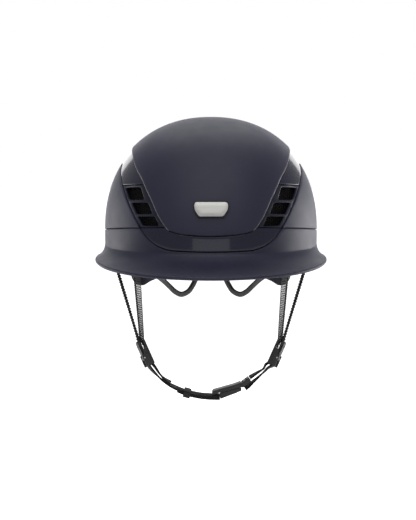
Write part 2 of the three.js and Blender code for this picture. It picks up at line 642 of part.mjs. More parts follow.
function addBuckle() {
  const frame = new THREE.Group();
  frame.position.copy(buckle.at);
  frame.rotation.y = -buckle.tilt;
  helmet.add(frame);
  const disc = (radius, height, z) =>
    rod(radius, height, 20).rotateX(Math.PI / 2).translate(buckle.magnetX, 0, z);
  const upper = buckleBlock([
    [-15.5, -2.3], [13, -2.3], [16.2, -1.2], [16.2, 2.6], [9, 1.8], [-13.8, 1.3], [-15.5, 0],
  ], buckle.width);
  add('buckle_catch', geometryOf(upper.subtract(solidOf(disc(5.1, 3.2, -2.3)))), palette.greyPlastic, frame);
  add('catch_magnet', disc(4.8, 1.3, -1.7), palette.steel, frame);
  const lower = buckleBlock([[-8.4, -5.4], [-6.6, -2.8], [13.6, -2.8], [15.4, -4], [15.4, -6.2], [8, -7.4],
    [-5, -8.8], [-8.4, -9.2]], buckle.width - 2);
  add('buckle_tongue', geometryOf(lower.subtract(solidOf(disc(5.1, 3.4, -2.8)))), palette.greyPlastic, frame);
  add('tongue_magnet', disc(4.8, 1.3, -3.5), palette.steel, frame);
}

// The ladder that the wearer's-left strap is threaded through, with a slot on each side of its middle bar.
function strapAdjuster() {
  const block = buckleBlock([[-5.2, -2.6], [5.2, -2.6], [5.2, 2.6], [-3.6, 2.6], [-5.2, 1.2]], buckle.width);
  const slot = (x) => solidOf(box(1.9, strap.width + 0.6, 12).translate(x, 0, 0));
  return geometryOf(block.subtract(slot(-2.2)).subtract(slot(2.2)));
}

function strapKeeper() {
  const sleeve = solidOf(tablet(19, 7, 7.4, 1.8).rotateZ(Math.PI / 2));
  const hole = solidOf(box(12, strap.width + 1.4, 4.6));
  return geometryOf(sleeve.subtract(hole));
}

function addChinStrap() {
  add('chin_strap_left', chinStrapLeft(), palette.webbing);
  const adjuster = add('strap_adjuster', strapAdjuster(), palette.greyPlastic);
  adjuster.position.copy(ladder.at);
  adjuster.rotation.y = -ladder.tilt;
  addBuckle();
  add('chin_strap_right', chinStrapRight(), palette.webbing);
  add('chin_tail_right', chinTailRight(), palette.webbing);
  const sleeve = add('strap_keeper', strapKeeper(), palette.rubber);
  sleeve.position.copy(keeper.at);
  sleeve.rotation.set(Math.atan(chinAcross.z), -keeper.tilt, 0, 'YXZ');
}

addShells();
addBadge();
addLiner();
addFitSystem();
addChinStrap();

export default helmet;
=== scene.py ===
import json
import math

import bmesh
import bpy
from mathutils import Matrix, Vector
from mathutils.geometry import delaunay_2d_cdt
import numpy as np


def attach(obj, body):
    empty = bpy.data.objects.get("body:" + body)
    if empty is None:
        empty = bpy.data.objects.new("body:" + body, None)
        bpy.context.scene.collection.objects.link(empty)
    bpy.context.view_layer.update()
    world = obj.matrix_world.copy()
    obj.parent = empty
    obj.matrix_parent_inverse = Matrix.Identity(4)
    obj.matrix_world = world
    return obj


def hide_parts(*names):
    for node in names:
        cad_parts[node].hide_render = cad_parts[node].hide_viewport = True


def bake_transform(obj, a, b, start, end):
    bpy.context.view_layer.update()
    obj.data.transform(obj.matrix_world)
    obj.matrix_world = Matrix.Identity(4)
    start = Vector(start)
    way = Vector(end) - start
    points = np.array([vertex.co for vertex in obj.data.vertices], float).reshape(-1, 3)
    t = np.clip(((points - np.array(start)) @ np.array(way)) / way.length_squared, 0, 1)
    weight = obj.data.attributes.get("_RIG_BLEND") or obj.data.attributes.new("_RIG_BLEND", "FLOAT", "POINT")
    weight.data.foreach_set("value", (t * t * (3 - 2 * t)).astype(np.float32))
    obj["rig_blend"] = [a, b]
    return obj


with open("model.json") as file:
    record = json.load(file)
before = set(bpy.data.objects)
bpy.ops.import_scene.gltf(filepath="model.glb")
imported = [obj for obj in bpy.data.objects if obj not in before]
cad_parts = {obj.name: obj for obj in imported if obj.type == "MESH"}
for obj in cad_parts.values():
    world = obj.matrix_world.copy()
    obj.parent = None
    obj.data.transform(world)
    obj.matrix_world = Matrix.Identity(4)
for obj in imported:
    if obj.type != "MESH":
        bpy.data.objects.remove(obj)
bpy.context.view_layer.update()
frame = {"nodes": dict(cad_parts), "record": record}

# Lengths are in millimetres until a mesh is made. +Z is up, the front faces -Y, the wearer's left is +X.
MM = 0.001
SIDES = (("left", 1), ("right", -1))

# ---------- the helmet's form, as in the CAD model ----------
HALF_WIDTH, NOSE, NAPE = 111.9, 126.0, 139.0
CROWN_RISE, SKIRT_DEPTH, BELT = 116.0, 250.0, 36.0
FULLNESS = 2.18
GAP = 0.7
SEAM_SLOPE, SEAM_HEIGHT = -0.07, 34.5
VENT_LINE = 79.0
BRIM = {"half_width": 119.6, "centre": -52.0, "front": 120.0, "rear": 160.0, "power": 2.05, "lip": 1.5}
BRIM_THICKNESS = 3.6
BODY_OF = {n: b for b, nodes in frame["record"]["behaviour"]["bodies"].items() for n in nodes}
SLOT_OF = {s["node"]: s["material_slot"] for s in frame["record"]["subparts"]}


def smooth(points):
    """A smooth function through (x, y) points that never overshoots them; level at both ends."""
    x, y = zip(*points)
    last = len(x) - 1
    rise = [(y[i + 1] - y[i]) / (x[i + 1] - x[i]) for i in range(last)]
    slope = [0.0] * (last + 1)
    for i in range(1, last):
        if rise[i - 1] * rise[i] > 0:
            slope[i] = 2 * rise[i - 1] * rise[i] / (rise[i - 1] + rise[i])

    def at(value):
        a = min(max(abs(value), x[0]), x[last])
        i = max(n for n in range(last) if x[n] <= a)
        h = x[i + 1] - x[i]
        t = (a - x[i]) / h
        near = y[i] * (1 + 2 * t) * (1 - t) ** 2 + slope[i] * h * t * (1 - t) ** 2
        return near + y[i + 1] * t * t * (3 - 2 * t) - slope[i + 1] * h * t * t * (1 - t)

    return at


crown_edge = smooth(
    [(0, 34.5), (11, 35.8), (19, 39.5), (23.4, 49.8), (30.2, 71.9), (41, 94.1), (64, 114.5)]
    + [(88, 120.5), (115, 116), (138, 102), (154, 84), (161, 74), (168, 71), (180, 70)]
)
gloss_edge = smooth(
    [(0, 18.2), (18, 19.2), (24.3, 22.3), (31.1, 31), (36.2, 42.9), (43.9, 61.9), (53.1, 79)]
    + [(66, 93.8), (88, 105), (110, 102.5), (130, 88), (147, 66), (160, 53), (180, 48)]
)
rim_edge = smooth([(0, 3), (40, 4), (75, 8), (100, 7), (135, -2), (180, -8)])
lobe_edge = smooth([(30, -4), (35, -12), (42, -16.5), (53, -22.5), (62, -22), (74, -17.5), (84, -10)])
brim_edge = smooth(
    [(0, -4.6), (20, -3.4), (30, -1.7), (43, 1.4), (58, 5.2)]
    + [(67, 7.3), (82, 8.6), (100, 8), (135, -0.5), (180, -6.5)]
)
flare_top = smooth([(0, 17), (60, 18.5), (90, 21), (120, 12), (180, 3)])


def heading(angle):
    """The plan direction at an angle from the front, in degrees, positive towards the wearer's left."""
    return math.sin(math.radians(angle)), -math.cos(math.radians(angle))


crown_top = lambda angle: BELT + CROWN_RISE
below_crown = lambda angle: crown_edge(angle) - GAP
above_gloss = lambda angle: gloss_edge(angle) + GAP


def level_of(z):
    """The skin's own measure of height: 0 at the belt and pi / 2 at the top."""
    share = (z - BELT) / (CROWN_RISE if z > BELT else SKIRT_DEPTH)
    return math.copysign(math.asin(min(1, abs(share) ** (FULLNESS / 2))), share)


def skin_normal(p, height):
    pull = lambda v, r: math.copysign(abs(v / r) ** (FULLNESS - 1) / r, v)
    length = NOSE if p.y < 0 else NAPE
    return Vector((pull(p.x, HALF_WIDTH), pull(p.y, length), pull(p.z, height))).normalized()


def skin(angle, level, offset=0.0):
    """The point of the skin at an angle and a level, moved out along the normal."""
    height = CROWN_RISE if level > 0 else SKIRT_DEPTH
    rise = math.copysign(abs(math.sin(level)) ** (2 / FULLNESS) * height, level)
    dx, dy = heading(angle)
    length = NOSE if dy < 0 else NAPE
    plan = (abs(dx / HALF_WIDTH) ** FULLNESS + abs(dy / length) ** FULLNESS) ** (-1 / FULLNESS)
    reach = plan * max(0.0, math.cos(level)) ** (2 / FULLNESS)
    p = Vector((dx * reach, dy * reach, rise))
    return p + skin_normal(p, height) * offset + Vector((0, 0, BELT))


def skin_at(angle, z, offset=0.0):
    return skin(angle, level_of(z), offset)


def facing_point(x, z, offset, back=False):
    """The point of the skin that is seen at x, z from straight in front, or from straight behind."""
    rise = z - BELT
    height = CROWN_RISE if rise > 0 else SKIRT_DEPTH
    rest = 1 - abs(x / HALF_WIDTH) ** FULLNESS - abs(rise / height) ** FULLNESS
    y = max(0.0, rest) ** (1 / FULLNESS) * (NAPE if back else -NOSE)
    p = Vector((x, y, rise))
    return p + skin_normal(p, height) * offset + Vector((0, 0, BELT))


def seam_at(angle):
    return SEAM_HEIGHT + SEAM_SLOPE * skin_at(angle, SEAM_HEIGHT).y


def plane_at(angle, height):
    """Where the skin meets the plane that slopes like the waist seam and has this height at y = 0."""
    z = height
    for _ in range(8):
        z = height + SEAM_SLOPE * skin_at(angle, z).y
    return z


def crossing(value, low, high):
    """Where a function that changes sign between low and high is zero."""
    sign = value(low) > 0
    for _ in range(40):
        middle = (low + high) / 2
        low, high = (middle, high) if (value(middle) > 0) == sign else (low, middle)
    return low


def span(start, end, steps):
    return [start + (end - start) * i / steps for i in range(steps + 1)]


FULL_RING = [-180 + 1.5 * i for i in range(240)]
# A rounded edge, as (run in from the edge, drop from the face) in shares of its radius.
FILLET = [(1 - math.sin(math.radians(a)), 1 - math.cos(math.radians(a))) for a in (90, 60, 30)]


# ---------- meshes ----------
def stacked(sections, ring=False):
    """Walls between closed sections of the same number of points. A ring's last section joins its first."""
    count = len(sections[0])
    verts = [p for section in sections for p in section]
    faces = []
    for s in range(len(sections) if ring else len(sections) - 1):
        here, there = s * count, (s + 1) % len(sections) * count
        for k in range(count):
            after = (k + 1) % count
            faces.append((here + k, here + after, there + after, there + k))
    return verts, faces


def loft(sections, ring=False):
    """A closed solid through sections: a ring, or a bar with a cap at each end."""
    verts, faces = stacked(sections, ring)
    if not ring:
        count = len(sections[0])
        last = len(verts) - count
        for k in range(count // 2 - 1):
            faces.append((k, count - 1 - k, count - 2 - k, k + 1))
            faces.append((last + k, last + k + 1, last + count - 2 - k, last + count - 1 - k))
    return verts, faces


def panel_section(angle, top, bottom, outer, inner, rows, radius, pole=False):
    """One section of a skin panel: its outer face with rounded edges, then its inner face."""
    high, low = level_of(top), level_of(bottom)
    step = 0.01
    pace = lambda level: (skin(angle, level + step) - skin(angle, level - step)).length / (2 * step)
    r = min(radius, 0.4 * (skin(angle, high) - skin(angle, low)).length)
    start = high if pole else high - r / pace(high)
    end = low + r / pace(low)
    profile = [] if pole else [(high - r * run / pace(high), outer - r * drop) for run, drop in FILLET]
    profile += [(level, outer) for level in span(start, end, rows)]
    profile += [(low + r * run / pace(low), outer - r * drop) for run, drop in reversed(FILLET)]
    profile += [(level, inner) for level in span(low, high, rows)]
    return [skin(angle, level, offset) for level, offset in profile]


def panel(angles, top, bottom, layer, rows, radius=0.8, ring=False, pole=False):
    sections = [panel_section(a, top(a), bottom(a), *layer, rows, radius, pole) for a in angles]
    return loft(sections, ring)


def merge(*parts):
    verts, faces = [], []
    for part_verts, part_faces in parts:
        faces += [tuple(i + len(verts) for i in face) for face in part_faces]
        verts += part_verts
    return verts, faces


def linked(name, data):
    obj = bpy.data.objects.new(name, data)
    bpy.context.scene.collection.objects.link(obj)
    return obj


def solid_mesh(name, shape):
    """A mesh from (verts, faces) in millimetres, joined where it touches itself and facing outward."""
    verts, faces = shape
    mesh = bpy.data.meshes.new(name)
    mesh.from_pydata([Vector(v) * MM for v in verts], [], faces)
    bm = bmesh.new()
    bm.from_mesh(mesh)
    bmesh.ops.remove_doubles(bm, verts=bm.verts, dist=1e-6)
    bmesh.ops.recalc_face_normals(bm, faces=bm.faces)
    bm.to_mesh(mesh)
    bm.free()
    return mesh


def make(name, shape, slot, body, replaces=(), sharp=42, blend=None):
    """An object from (verts, faces), with its material, its body and the CAD nodes that it stands for.
    blend is (body, start, end) for fabric that crosses over to another body between two points."""
    mesh = solid_mesh(name, shape)
    mesh.shade_smooth()
    mesh.set_sharp_from_angle(angle=math.radians(sharp))
    obj = linked(name, mesh)
    mesh.materials.append(finish_of(slot))
    if blend:
        other, start, end = blend
        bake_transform(obj, body, other, start=tuple(Vector(start) * MM), end=tuple(Vector(end) * MM))
    else:
        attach(obj, body)
    if replaces:
        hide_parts(*replaces)
    return obj


def skin_piece(name, shape, *nodes, sharp=42, blend=None):
    """A piece that stands for CAD nodes, on their body and in their material slot."""
    return make(name, shape, SLOT_OF[nodes[0]], BODY_OF[nodes[0]], nodes, sharp, blend)


def applied(obj):
    """Bakes an object's modifiers into its mesh."""
    graph = bpy.context.evaluated_depsgraph_get()
    mesh = bpy.data.meshes.new_from_object(obj.evaluated_get(graph))
    obj.modifiers.clear()
    obj.data = mesh
    return obj


def bevelled(node, width, segments=2):
    """A CAD node's own shape with its edges rounded."""
    source = frame["nodes"][node].data
    mesh = bpy.data.meshes.new(node + "_form")
    bm = bmesh.new()
    bm.from_mesh(source)
    bmesh.ops.remove_doubles(bm, verts=bm.verts, dist=2e-6)
    bmesh.ops.dissolve_limit(bm, angle_limit=math.radians(1), verts=bm.verts, edges=bm.edges)
    bm.to_mesh(mesh)
    bm.free()
    for attribute in [a for a in mesh.attributes if a.name.startswith("custom_normal")]:
        mesh.attributes.remove(attribute)
    obj = linked(node + "_form", mesh)
    bevel = obj.modifiers.new("bevel", "BEVEL")
    bevel.width = width * MM
    bevel.segments = segments
    bevel.limit_method = "ANGLE"
    bevel.angle_limit = math.radians(30)
    applied(obj)
    obj.data.shade_smooth()
    obj.data.set_sharp_from_angle(angle=math.radians(38))
    obj.data.materials.clear()
    obj.data.materials.append(finish_of(SLOT_OF[node]))
    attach(obj, BODY_OF[node])
    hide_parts(node)
    return obj


# ---------- flat shapes laid on a surface ----------
def rounded(loop, radius, steps=4):
    """A closed outline with its corners rounded."""
    result = []
    points = [Vector(p) for p in loop]
    for i, corner in enumerate(points):
        before, after = points[i - 1] - corner, points[(i + 1) % len(points)] - corner
        reach = min(radius, before.length * 0.48, after.length * 0.48)
        start, end = corner + before.normalized() * reach, corner + after.normalized() * reach
        for t in span(0, 1, steps):
            result.append(start.lerp(corner, t).lerp(corner.lerp(end, t), t))
    return result


def area(loop):
    return sum(a.x * b.y - b.x * a.y for a, b in zip(loop, loop[1:] + loop[:1])) / 2


def grown(loop, distance):
    """The outline moved outward by a distance."""
    turn = 1 if area(loop) > 0 else -1
    result = []
    for i, p in enumerate(loop):
        along = (p - loop[i - 1]).normalized() + (loop[(i + 1) % len(loop)] - p).normalized()
        out = Vector((along.y, -along.x)).normalized() * turn
        result.append(p + out * distance)
    return result


def contains(loop, p):
    inside = False
    for a, b in zip(loop, loop[1:] + loop[:1]):
        if (a.y > p.y) != (b.y > p.y) and p.x < (b.x - a.x) * (p.y - a.y) / (b.y - a.y) + a.x:
            inside = not inside
    return inside


def within(loops, p):
    """Whether a point is inside the first outline and outside the others."""
    return contains(loops[0], p) and not any(contains(hole, p) for hole in loops[1:])


def plate(outline, holes, place, outer, inner, radius, step=3.0):
    """A plate with rounded edges and holes. place(x, z, offset) puts a point of the flat shape in space."""
    loops = [grown(outline, -radius)] + [grown(hole, radius) for hole in holes]
    flat = [p for loop in loops for p in loop]
    edges = []
    start = 0
    for loop in loops:
        edges += [(start + i, start + (i + 1) % len(loop)) for i in range(len(loop))]
        start += len(loop)
    low, high = (Vector((most(p.x for p in flat), most(p.y for p in flat))) for most in (min, max))
    room = [grown(loops[0], -step * 0.5)] + [grown(loop, step * 0.4) for loop in loops[1:]]
    for i in range(1, int((high.x - low.x) / step) + 1):
        for j in range(1, int((high.y - low.y) / step) + 1):
            p = low + Vector((i, j)) * step
            if within(room, p):
                flat.append(p)
    points, _, triangles, *_ = delaunay_2d_cdt(flat, edges, [], 0, 1e-5)
    kept = []
    for triangle in triangles:
        centre = sum((points[i] for i in triangle), Vector((0, 0))) / len(triangle)
        if within(loops, centre):
            kept.append(tuple(triangle))
    faces = [([place(p.x, p.y, depth) for p in points], kept) for depth in (outer, inner)]
    rims = []
    for loop, sign in zip([outline] + list(holes), [-1] + [1] * len(holes)):
        rings = [(radius * run, outer - radius * drop) for run, drop in reversed(FILLET)]
        rings = [(radius, outer), *rings, (0.0, inner), (radius, inner)]
        at = lambda inset, depth: [place(p.x, p.y, depth) for p in grown(loop, sign * inset)]
        rims.append(stacked([at(*ring) for ring in rings]))
    return merge(*faces, *rims)


def honeycomb(cells, pitch, share, place, thickness):
    """A sheet of round holes in hexagonal cells, with its two faces and the walls of its holes."""
    turns = [Vector((math.cos(a), math.sin(a))) for a in span(0, 2 * math.pi, 12)[:-1]]
    edge = [turn * (pitch / 2 if k % 2 else pitch / math.sqrt(3)) for k, turn in enumerate(turns)]
    hole = [turn * share * pitch / 2 for turn in turns]
    loops = ((edge, thickness / 2), (hole, thickness / 2), (hole, -thickness / 2), (edge, -thickness / 2))
    at = lambda cell, loop, lift: [place(*(cell + corner), lift) for corner in loop]
    return merge(*(stacked([at(cell, *loop) for loop in loops]) for cell in cells))


def hex_cells(pitch, low, high):
    """Centres of a flat-topped hexagonal lattice between two corners, straight up the second axis."""
    column = pitch * math.sqrt(3) / 2
    centre = (low + high) / 2
    across, up = int((high.x - low.x) / 2 / column) + 1, int((high.y - low.y) / 2 / pitch) + 1
    cells = []
    for i in range(-across, across + 1):
        for j in range(-up, up + 1):
            p = centre + Vector((i * column, (j + (i % 2) / 2) * pitch))
            if low.x <= p.x <= high.x and low.y <= p.y <= high.y:
                cells.append(p)
    return cells


# ---------- materials ----------
class Shader:
    """A Principled material whose nodes are added one by one. Patterns are in object space, in metres."""

    def __init__(self, name):
        self.material = bpy.data.materials.new(name)
        self.material.use_nodes = True
        self.tree = self.material.node_tree
        self.surface = self.tree.nodes["Principled BSDF"]
        self.place = self.add("ShaderNodeTexCoord").outputs["Object"]

    def add(self, kind, **sockets):
        node = self.tree.nodes.new(kind)
        for name, value in sockets.items():
            self.set(node.inputs[name.replace("_", " ")], value)
        return node

    def set(self, socket, value):
        if isinstance(value, bpy.types.NodeSocket):
            self.tree.links.new(value, socket)
        else:
            socket.default_value = value

    def constants(self, **sockets):
        for name, value in sockets.items():
            self.surface.inputs[name.replace("_", " ")].default_value = value

    def noise(self, scale, detail=2.0, stretch=None):
        place = self.place
        if stretch:
            place = self.add("ShaderNodeMapping", Vector=place, Scale=stretch).outputs[0]
        return self.add("ShaderNodeTexNoise", Vector=place, Scale=scale, Detail=detail).outputs["Fac"]

    def cells(self, scale, feature="F1"):
        node = self.add("ShaderNodeTexVoronoi", Vector=self.place, Scale=scale)
        node.feature = feature
        return node.outputs["Distance"]

    def ranged(self, value, low, high, start=0.3, end=0.7):
        node = self.add("ShaderNodeMapRange", Value=value)
        for name, number in (("From Min", start), ("From Max", end), ("To Min", low), ("To Max", high)):
            node.inputs[name].default_value = number
        return node.outputs["Result"]

    def math(self, operation, a, b=0.0):
        node = self.tree.nodes.new("ShaderNodeMath")
        node.operation = operation
        self.set(node.inputs[0], a)
        self.set(node.inputs[1], b)
        return node.outputs[0]

    def colour(self, factor, first, second):
        node = self.tree.nodes.new("ShaderNodeMix")
        node.data_type = "RGBA"
        self.set(node.inputs["Factor"], factor)
        node.inputs["A"].default_value = (*first, 1)
        node.inputs["B"].default_value = (*second, 1)
        self.set(self.surface.inputs["Base Color"], node.outputs["Result"])

    def roughness(self, value):
        self.set(self.surface.inputs["Roughness"], value)

    def bump(self, height, strength, distance, under=None):
        node = self.add("ShaderNodeBump", Height=height, Strength=strength, Distance=distance)
        if under:
            self.set(node.inputs["Normal"], under)
        return node.outputs["Normal"]

    def normal(self, value):
        self.set(self.surface.inputs["Normal"], value)


def moulded(name, dark, light, rough, grain, strength, **constants):
    """Moulded or painted plastic: soft tone drift, uneven sheen and a fine surface grain."""
    s = Shader(name)
    s.colour(s.ranged(s.noise(26, 4), 0, 1), dark, light)
    s.roughness(s.ranged(s.noise(60, 5), *rough))
    s.normal(s.bump(s.noise(grain, 3), strength, 0.0002))
    s.constants(**constants)
    return s.material


def brushed(name, dark, light, rough, stretch, **constants):
    s = Shader(name)
    lines = s.noise(1.0, 4, stretch)
    s.colour(s.ranged(lines, 0, 1), dark, light)
    s.roughness(s.ranged(lines, *rough))
    s.normal(s.bump(lines, 0.12, 0.0001))
    s.constants(Metallic=1.0, **constants)
    return s.material


def foam():
    """Expanded bead foam: packed cells with fine creases between them."""
    s = Shader("bead_foam")
    beads = s.cells(300)
    # The colour is lighter at each bead's middle and darker towards the creases between beads: painted shade
    # in the creases.
    s.colour(s.ranged(beads, 0, 1, 0.1, 0.75), (0.024, 0.024, 0.027), (0.009, 0.009, 0.011))
    s.roughness(s.ranged(s.noise(90, 3), 0.7, 0.95))
    s.normal(s.bump(s.math("MULTIPLY", beads, -1.0), 0.7, 0.0008))
    return s.material


def knit(name, dark, light, scale, sheen):
    """Soft knit: small loops, a wandering nap and a sheen at grazing angles."""
    s = Shader(name)
    loops = s.cells(scale, "SMOOTH_F1")
    nap = s.noise(70, 5)
    # The colour is darker between the loops, painted shade in their hollows, and drifts with the nap, which
    # is the knit's own tone.
    s.colour(s.ranged(s.math("ADD", s.math("MULTIPLY", loops, 0.8), nap), 0, 1, 0.5, 1.1), light, dark)
    s.roughness(s.ranged(nap, 0.8, 1.0))
    s.normal(s.bump(s.math("MULTIPLY", loops, -1.0), 0.6, 0.0004, s.bump(nap, 0.3, 0.0008)))
    s.constants(Sheen_Weight=sheen, Sheen_Roughness=0.45)
    return s.material


def woven():
    """Flat webbing: two crossing yarns along the strap's own directions, kept as attributes in metres."""
    s = Shader("woven_webbing")
    yarns = []
    for direction, pitch in (("across", 0.0016), ("along", 0.0018)):
        place = s.add("ShaderNodeAttribute")
        place.attribute_name = direction
        turns = s.math("MULTIPLY", place.outputs["Fac"], 2 * math.pi / pitch)
        yarns.append(s.math("SINE", turns))
    weave = s.math("MULTIPLY", *yarns)
    fuzz = s.noise(900, 4)
    # The colour follows the weave and the fuzz, lighter where their bump is raised and darker in the
    # hollows: painted shade.
    shade = s.ranged(s.math("ADD", weave, fuzz), 0, 1, -0.2, 1.4)
    s.colour(shade, (0.005, 0.005, 0.006), (0.022, 0.022, 0.024))
    s.roughness(s.ranged(fuzz, 0.7, 0.92))
    s.normal(s.bump(weave, 0.7, 0.0003, s.bump(fuzz, 0.3, 0.0002)))
    s.constants(Sheen_Weight=0.08, Sheen_Roughness=0.4, Specular_IOR_Level=0.3)
    return s.material


def cord_yarn():
    """The twisted black yarn of the open net straps."""
    s = Shader("net_yarn")
    twist = s.noise(1.0, 2, (1500, 1500, 700))
    s.colour(s.ranged(twist, 0, 1), (0.006, 0.006, 0.008), (0.022, 0.022, 0.026))
    s.roughness(s.ranged(twist, 0.6, 0.85))
    s.normal(s.bump(twist, 0.6, 0.0002))
    return s.material


grey = lambda tone, blue=0.0: (tone, tone, tone + blue)
FINISHES = {
    "matte_shell": lambda: moulded(
        "soft_touch_navy", (0.0145, 0.0142, 0.037), (0.0165, 0.0162, 0.042), (0.5, 0.56), 4200, 0.1,
        Specular_IOR_Level=0.42, Sheen_Weight=0.1, Sheen_Roughness=0.4, Sheen_Tint=(0.85, 0.85, 1, 1),
    ),
    "gloss_shell": lambda: moulded(
        "polished_navy", (0.0055, 0.0055, 0.024), (0.007, 0.007, 0.029), (0.2, 0.26), 700, 0.008,
        Coat_Weight=0.7, Coat_Roughness=0.05, Specular_IOR_Level=0.3,
    ),
    # painted highlight: a light grey satin for the bead along the crown panel's edge
    "painted_highlight": lambda: moulded("satin_painted_highlight", grey(0.13, 0.01), grey(0.17, 0.015), (0.25, 0.35), 2600, 0.1),
    "vent_plastic": lambda: moulded(
        "satin_navy", (0.008, 0.008, 0.022), (0.01, 0.01, 0.026), (0.34, 0.42), 3600, 0.1,
        Specular_IOR_Level=0.35,
    ),
    "vent_mesh": lambda: moulded(
        "vent_grid", grey(0.002), grey(0.004), (0.6, 0.8), 3000, 0.2, Specular_IOR_Level=0.12,
    ),
    "badge_metal": lambda: brushed(
        "brushed_badge", (0.45, 0.445, 0.43), (0.58, 0.575, 0.555), (0.34, 0.5), (40, 40, 5200),
    ),
    "black_plastic": lambda: moulded(
        "black_nylon", grey(0.008, 0.001), grey(0.014, 0.001), (0.42, 0.6), 2600, 0.25,
        Specular_IOR_Level=0.35,
    ),
    "grey_plastic": lambda: moulded(
        "graphite_nylon", grey(0.03, 0.002), grey(0.044, 0.002), (0.4, 0.56), 2600, 0.25,
        Specular_IOR_Level=0.35,
    ),
    # a lighter copy of the grey plastic for the cradle band: painted light on its face
    "cradle_painted_light_grey": lambda: moulded("cradle_painted_light_grey", grey(0.1), grey(0.13), (0.4, 0.56), 2600, 0.25),
    "liner_foam": foam,
    "lining": lambda: knit("peak_lining", (0.01, 0.01, 0.014), (0.026, 0.026, 0.034), 1500, 0.3),
    "pad_fabric": lambda: knit("navy_knit", (0.004, 0.0045, 0.013), (0.012, 0.013, 0.03), 1100, 0.05),
    "webbing": woven,
    "rim_rubber": lambda: moulded("soft_rubber", grey(0.01), grey(0.016), (0.6, 0.8), 1800, 0.3),
    "steel": lambda: brushed("turned_steel", grey(0.5), (0.66, 0.66, 0.65), (0.25, 0.4), (2500, 60, 60)),
    "net_yarn": cord_yarn,
}
made_finishes = {}


def finish_of(slot):
    if slot not in made_finishes:
        made_finishes[slot] = FINISHES[slot]()
    return made_finishes[slot]


# ---------- shells ----------
CROWN, GLOSS, MATTE, VENT = (1.5, -1.6), (-0.9, -3.0), (0.0, -2.6), (-1.1, -3.2)


def both_sides(start, step):
    """Angles from a start on the wearer's left, round the back, to the same angle on the right."""
    steps = round((180 - start) / step)
    half = span(start, 180, steps)
    return half + [-a for a in reversed(half[:-1])]


def lower_top(angle):
    return min(gloss_edge(angle), seam_at(angle)) - GAP / 2


def brim_reach(angle):
    """Where the brim ends: an oval that sinks into the wall behind the ears."""
    wall = skin_at(angle, brim_edge(angle), BRIM["lip"])
    dx, dy = heading(angle)

    def inside(r):
        y = r * dy - BRIM["centre"]
        length = BRIM["front"] if y < 0 else BRIM["rear"]
        return abs(r * dx / BRIM["half_width"]) ** BRIM["power"] + abs(y / length) ** BRIM["power"] - 1

    near = crossing(inside, 0, 200)
    wall_reach = math.hypot(wall.x, wall.y)
    blend = 3
    return math.log(math.exp((near - wall_reach) / blend) + 1) * blend + wall_reach


def brim_point(angle, reach, z):
    dx, dy = heading(angle)
    return Vector((dx * reach, dy * reach, z))


# The brim's concave curve, in shares of its run from the wall to its edge.
BEND_RUN, BEND_DROP, LIFT_RUN = 0.06, 0.68, 0.25


def flare(angle, reach, lift, steps):
    """The brim's face from the wall to its edge, a concave curve."""
    start = skin_at(angle, flare_top(angle))
    edge = brim_point(angle, reach, brim_edge(angle))
    bend = start.lerp(edge, BEND_RUN)
    bend.z = start.z + (edge.z - start.z) * BEND_DROP
    result = []
    for t in span(0, 1, steps):
        ramp = min(1, t / LIFT_RUN)
        p = start.lerp(bend, t).lerp(bend.lerp(edge, t), t)
        result.append(p + Vector((0, 0, lift * ramp * ramp * (3 - 2 * ramp))))
    return result


def lower_shell():
    half = BRIM_THICKNESS / 2
    sections = []
    for angle in FULL_RING:
        top, r = lower_top(angle), 0.7
        profile = [(top - r * run, -r * drop) for run, drop in FILLET]
        profile += [(z, 0) for z in span(top - r, flare_top(angle), 6)[:-1]]
        section = [skin_at(angle, z, offset) for z, offset in profile]
        reach = brim_reach(angle) - half
        section += flare(angle, reach, half, 16)
        edge = brim_edge(angle)
        for turn in (60, 30, 0, -30, -60):
            t = math.radians(turn)
            section.append(brim_point(angle, reach + half * math.cos(t), edge + half * math.sin(t)))
        under = brim_point(angle, reach, edge - half)
        inside_low = skin_at(angle, rim_edge(angle), MATTE[1])
        inside_top = skin_at(angle, top, MATTE[1])
        section += [under.lerp(inside_low, t) for t in span(0, 1, 6)]
        section += [inside_low.lerp(inside_top, t) for t in span(0, 1, 5)[1:]]
        sections.append(section)
    return loft(sections, ring=True)


def brim_lining():
    sections = []
    for angle in span(-76, 76, 100):
        edge = flare(angle, brim_reach(angle), -BRIM_THICKNESS / 2, 4)[-1]
        rim = skin_at(angle, rim_edge(angle), MATTE[1])
        face = [edge.lerp(rim, t) for t in span(0.1, 0.93, 9)]
        drop = lambda points, d: [p - Vector((0, 0, d)) for p in points]
        sections.append(drop(face, 0.4) + drop(reversed(face), 1.3))
    return loft(sections)


def add_shells():
    crown = panel(FULL_RING, crown_top, crown_edge, CROWN, 44, 1.0, ring=True, pole=True)
    skin_piece("crown_skin", crown, "crown_panel")
    add_crown_edge_highlight()
    start = crossing(lambda a: gloss_edge(a) - seam_at(a) - GAP - 0.8, 30, 45)
    upper_top, upper_low = (lambda a: gloss_edge(a) - GAP / 2), (lambda a: seam_at(a) + GAP / 2)
    upper = panel(both_sides(start, 1.5), upper_top, upper_low, MATTE, 14)
    skin_piece("upper_shell_skin", upper, "upper_shell")
    skin_piece("brim_shell_skin", lower_shell(), "lower_shell")
    skin_piece("peak_lining", brim_lining(), "brim_lining")

    band_top = lambda a: min(below_crown(a), plane_at(a, SEAM_HEIGHT - GAP / 2))
    tip = crossing(lambda a: band_top(a) - gloss_edge(a) - GAP - 0.3, 20, 45)
    front = panel(span(-tip, tip, 96), band_top, above_gloss, GLOSS, 8, 0.5)
    skin_piece("front_gloss_skin", front, "front_gloss_band")

    line = lambda a: plane_at(a, VENT_LINE + GAP) if abs(a) < 60 else 0
    frame_low = lambda a: max(above_gloss(a), line(a))
    start = crossing(lambda a: below_crown(a) - frame_low(a) - 0.3, 28, 45)
    rear = panel(both_sides(start, 1.2), below_crown, frame_low, GLOSS, 10, 0.5)
    cut_rear_slots(skin_piece("rear_gloss_skin", rear, "rear_gloss_frame"))


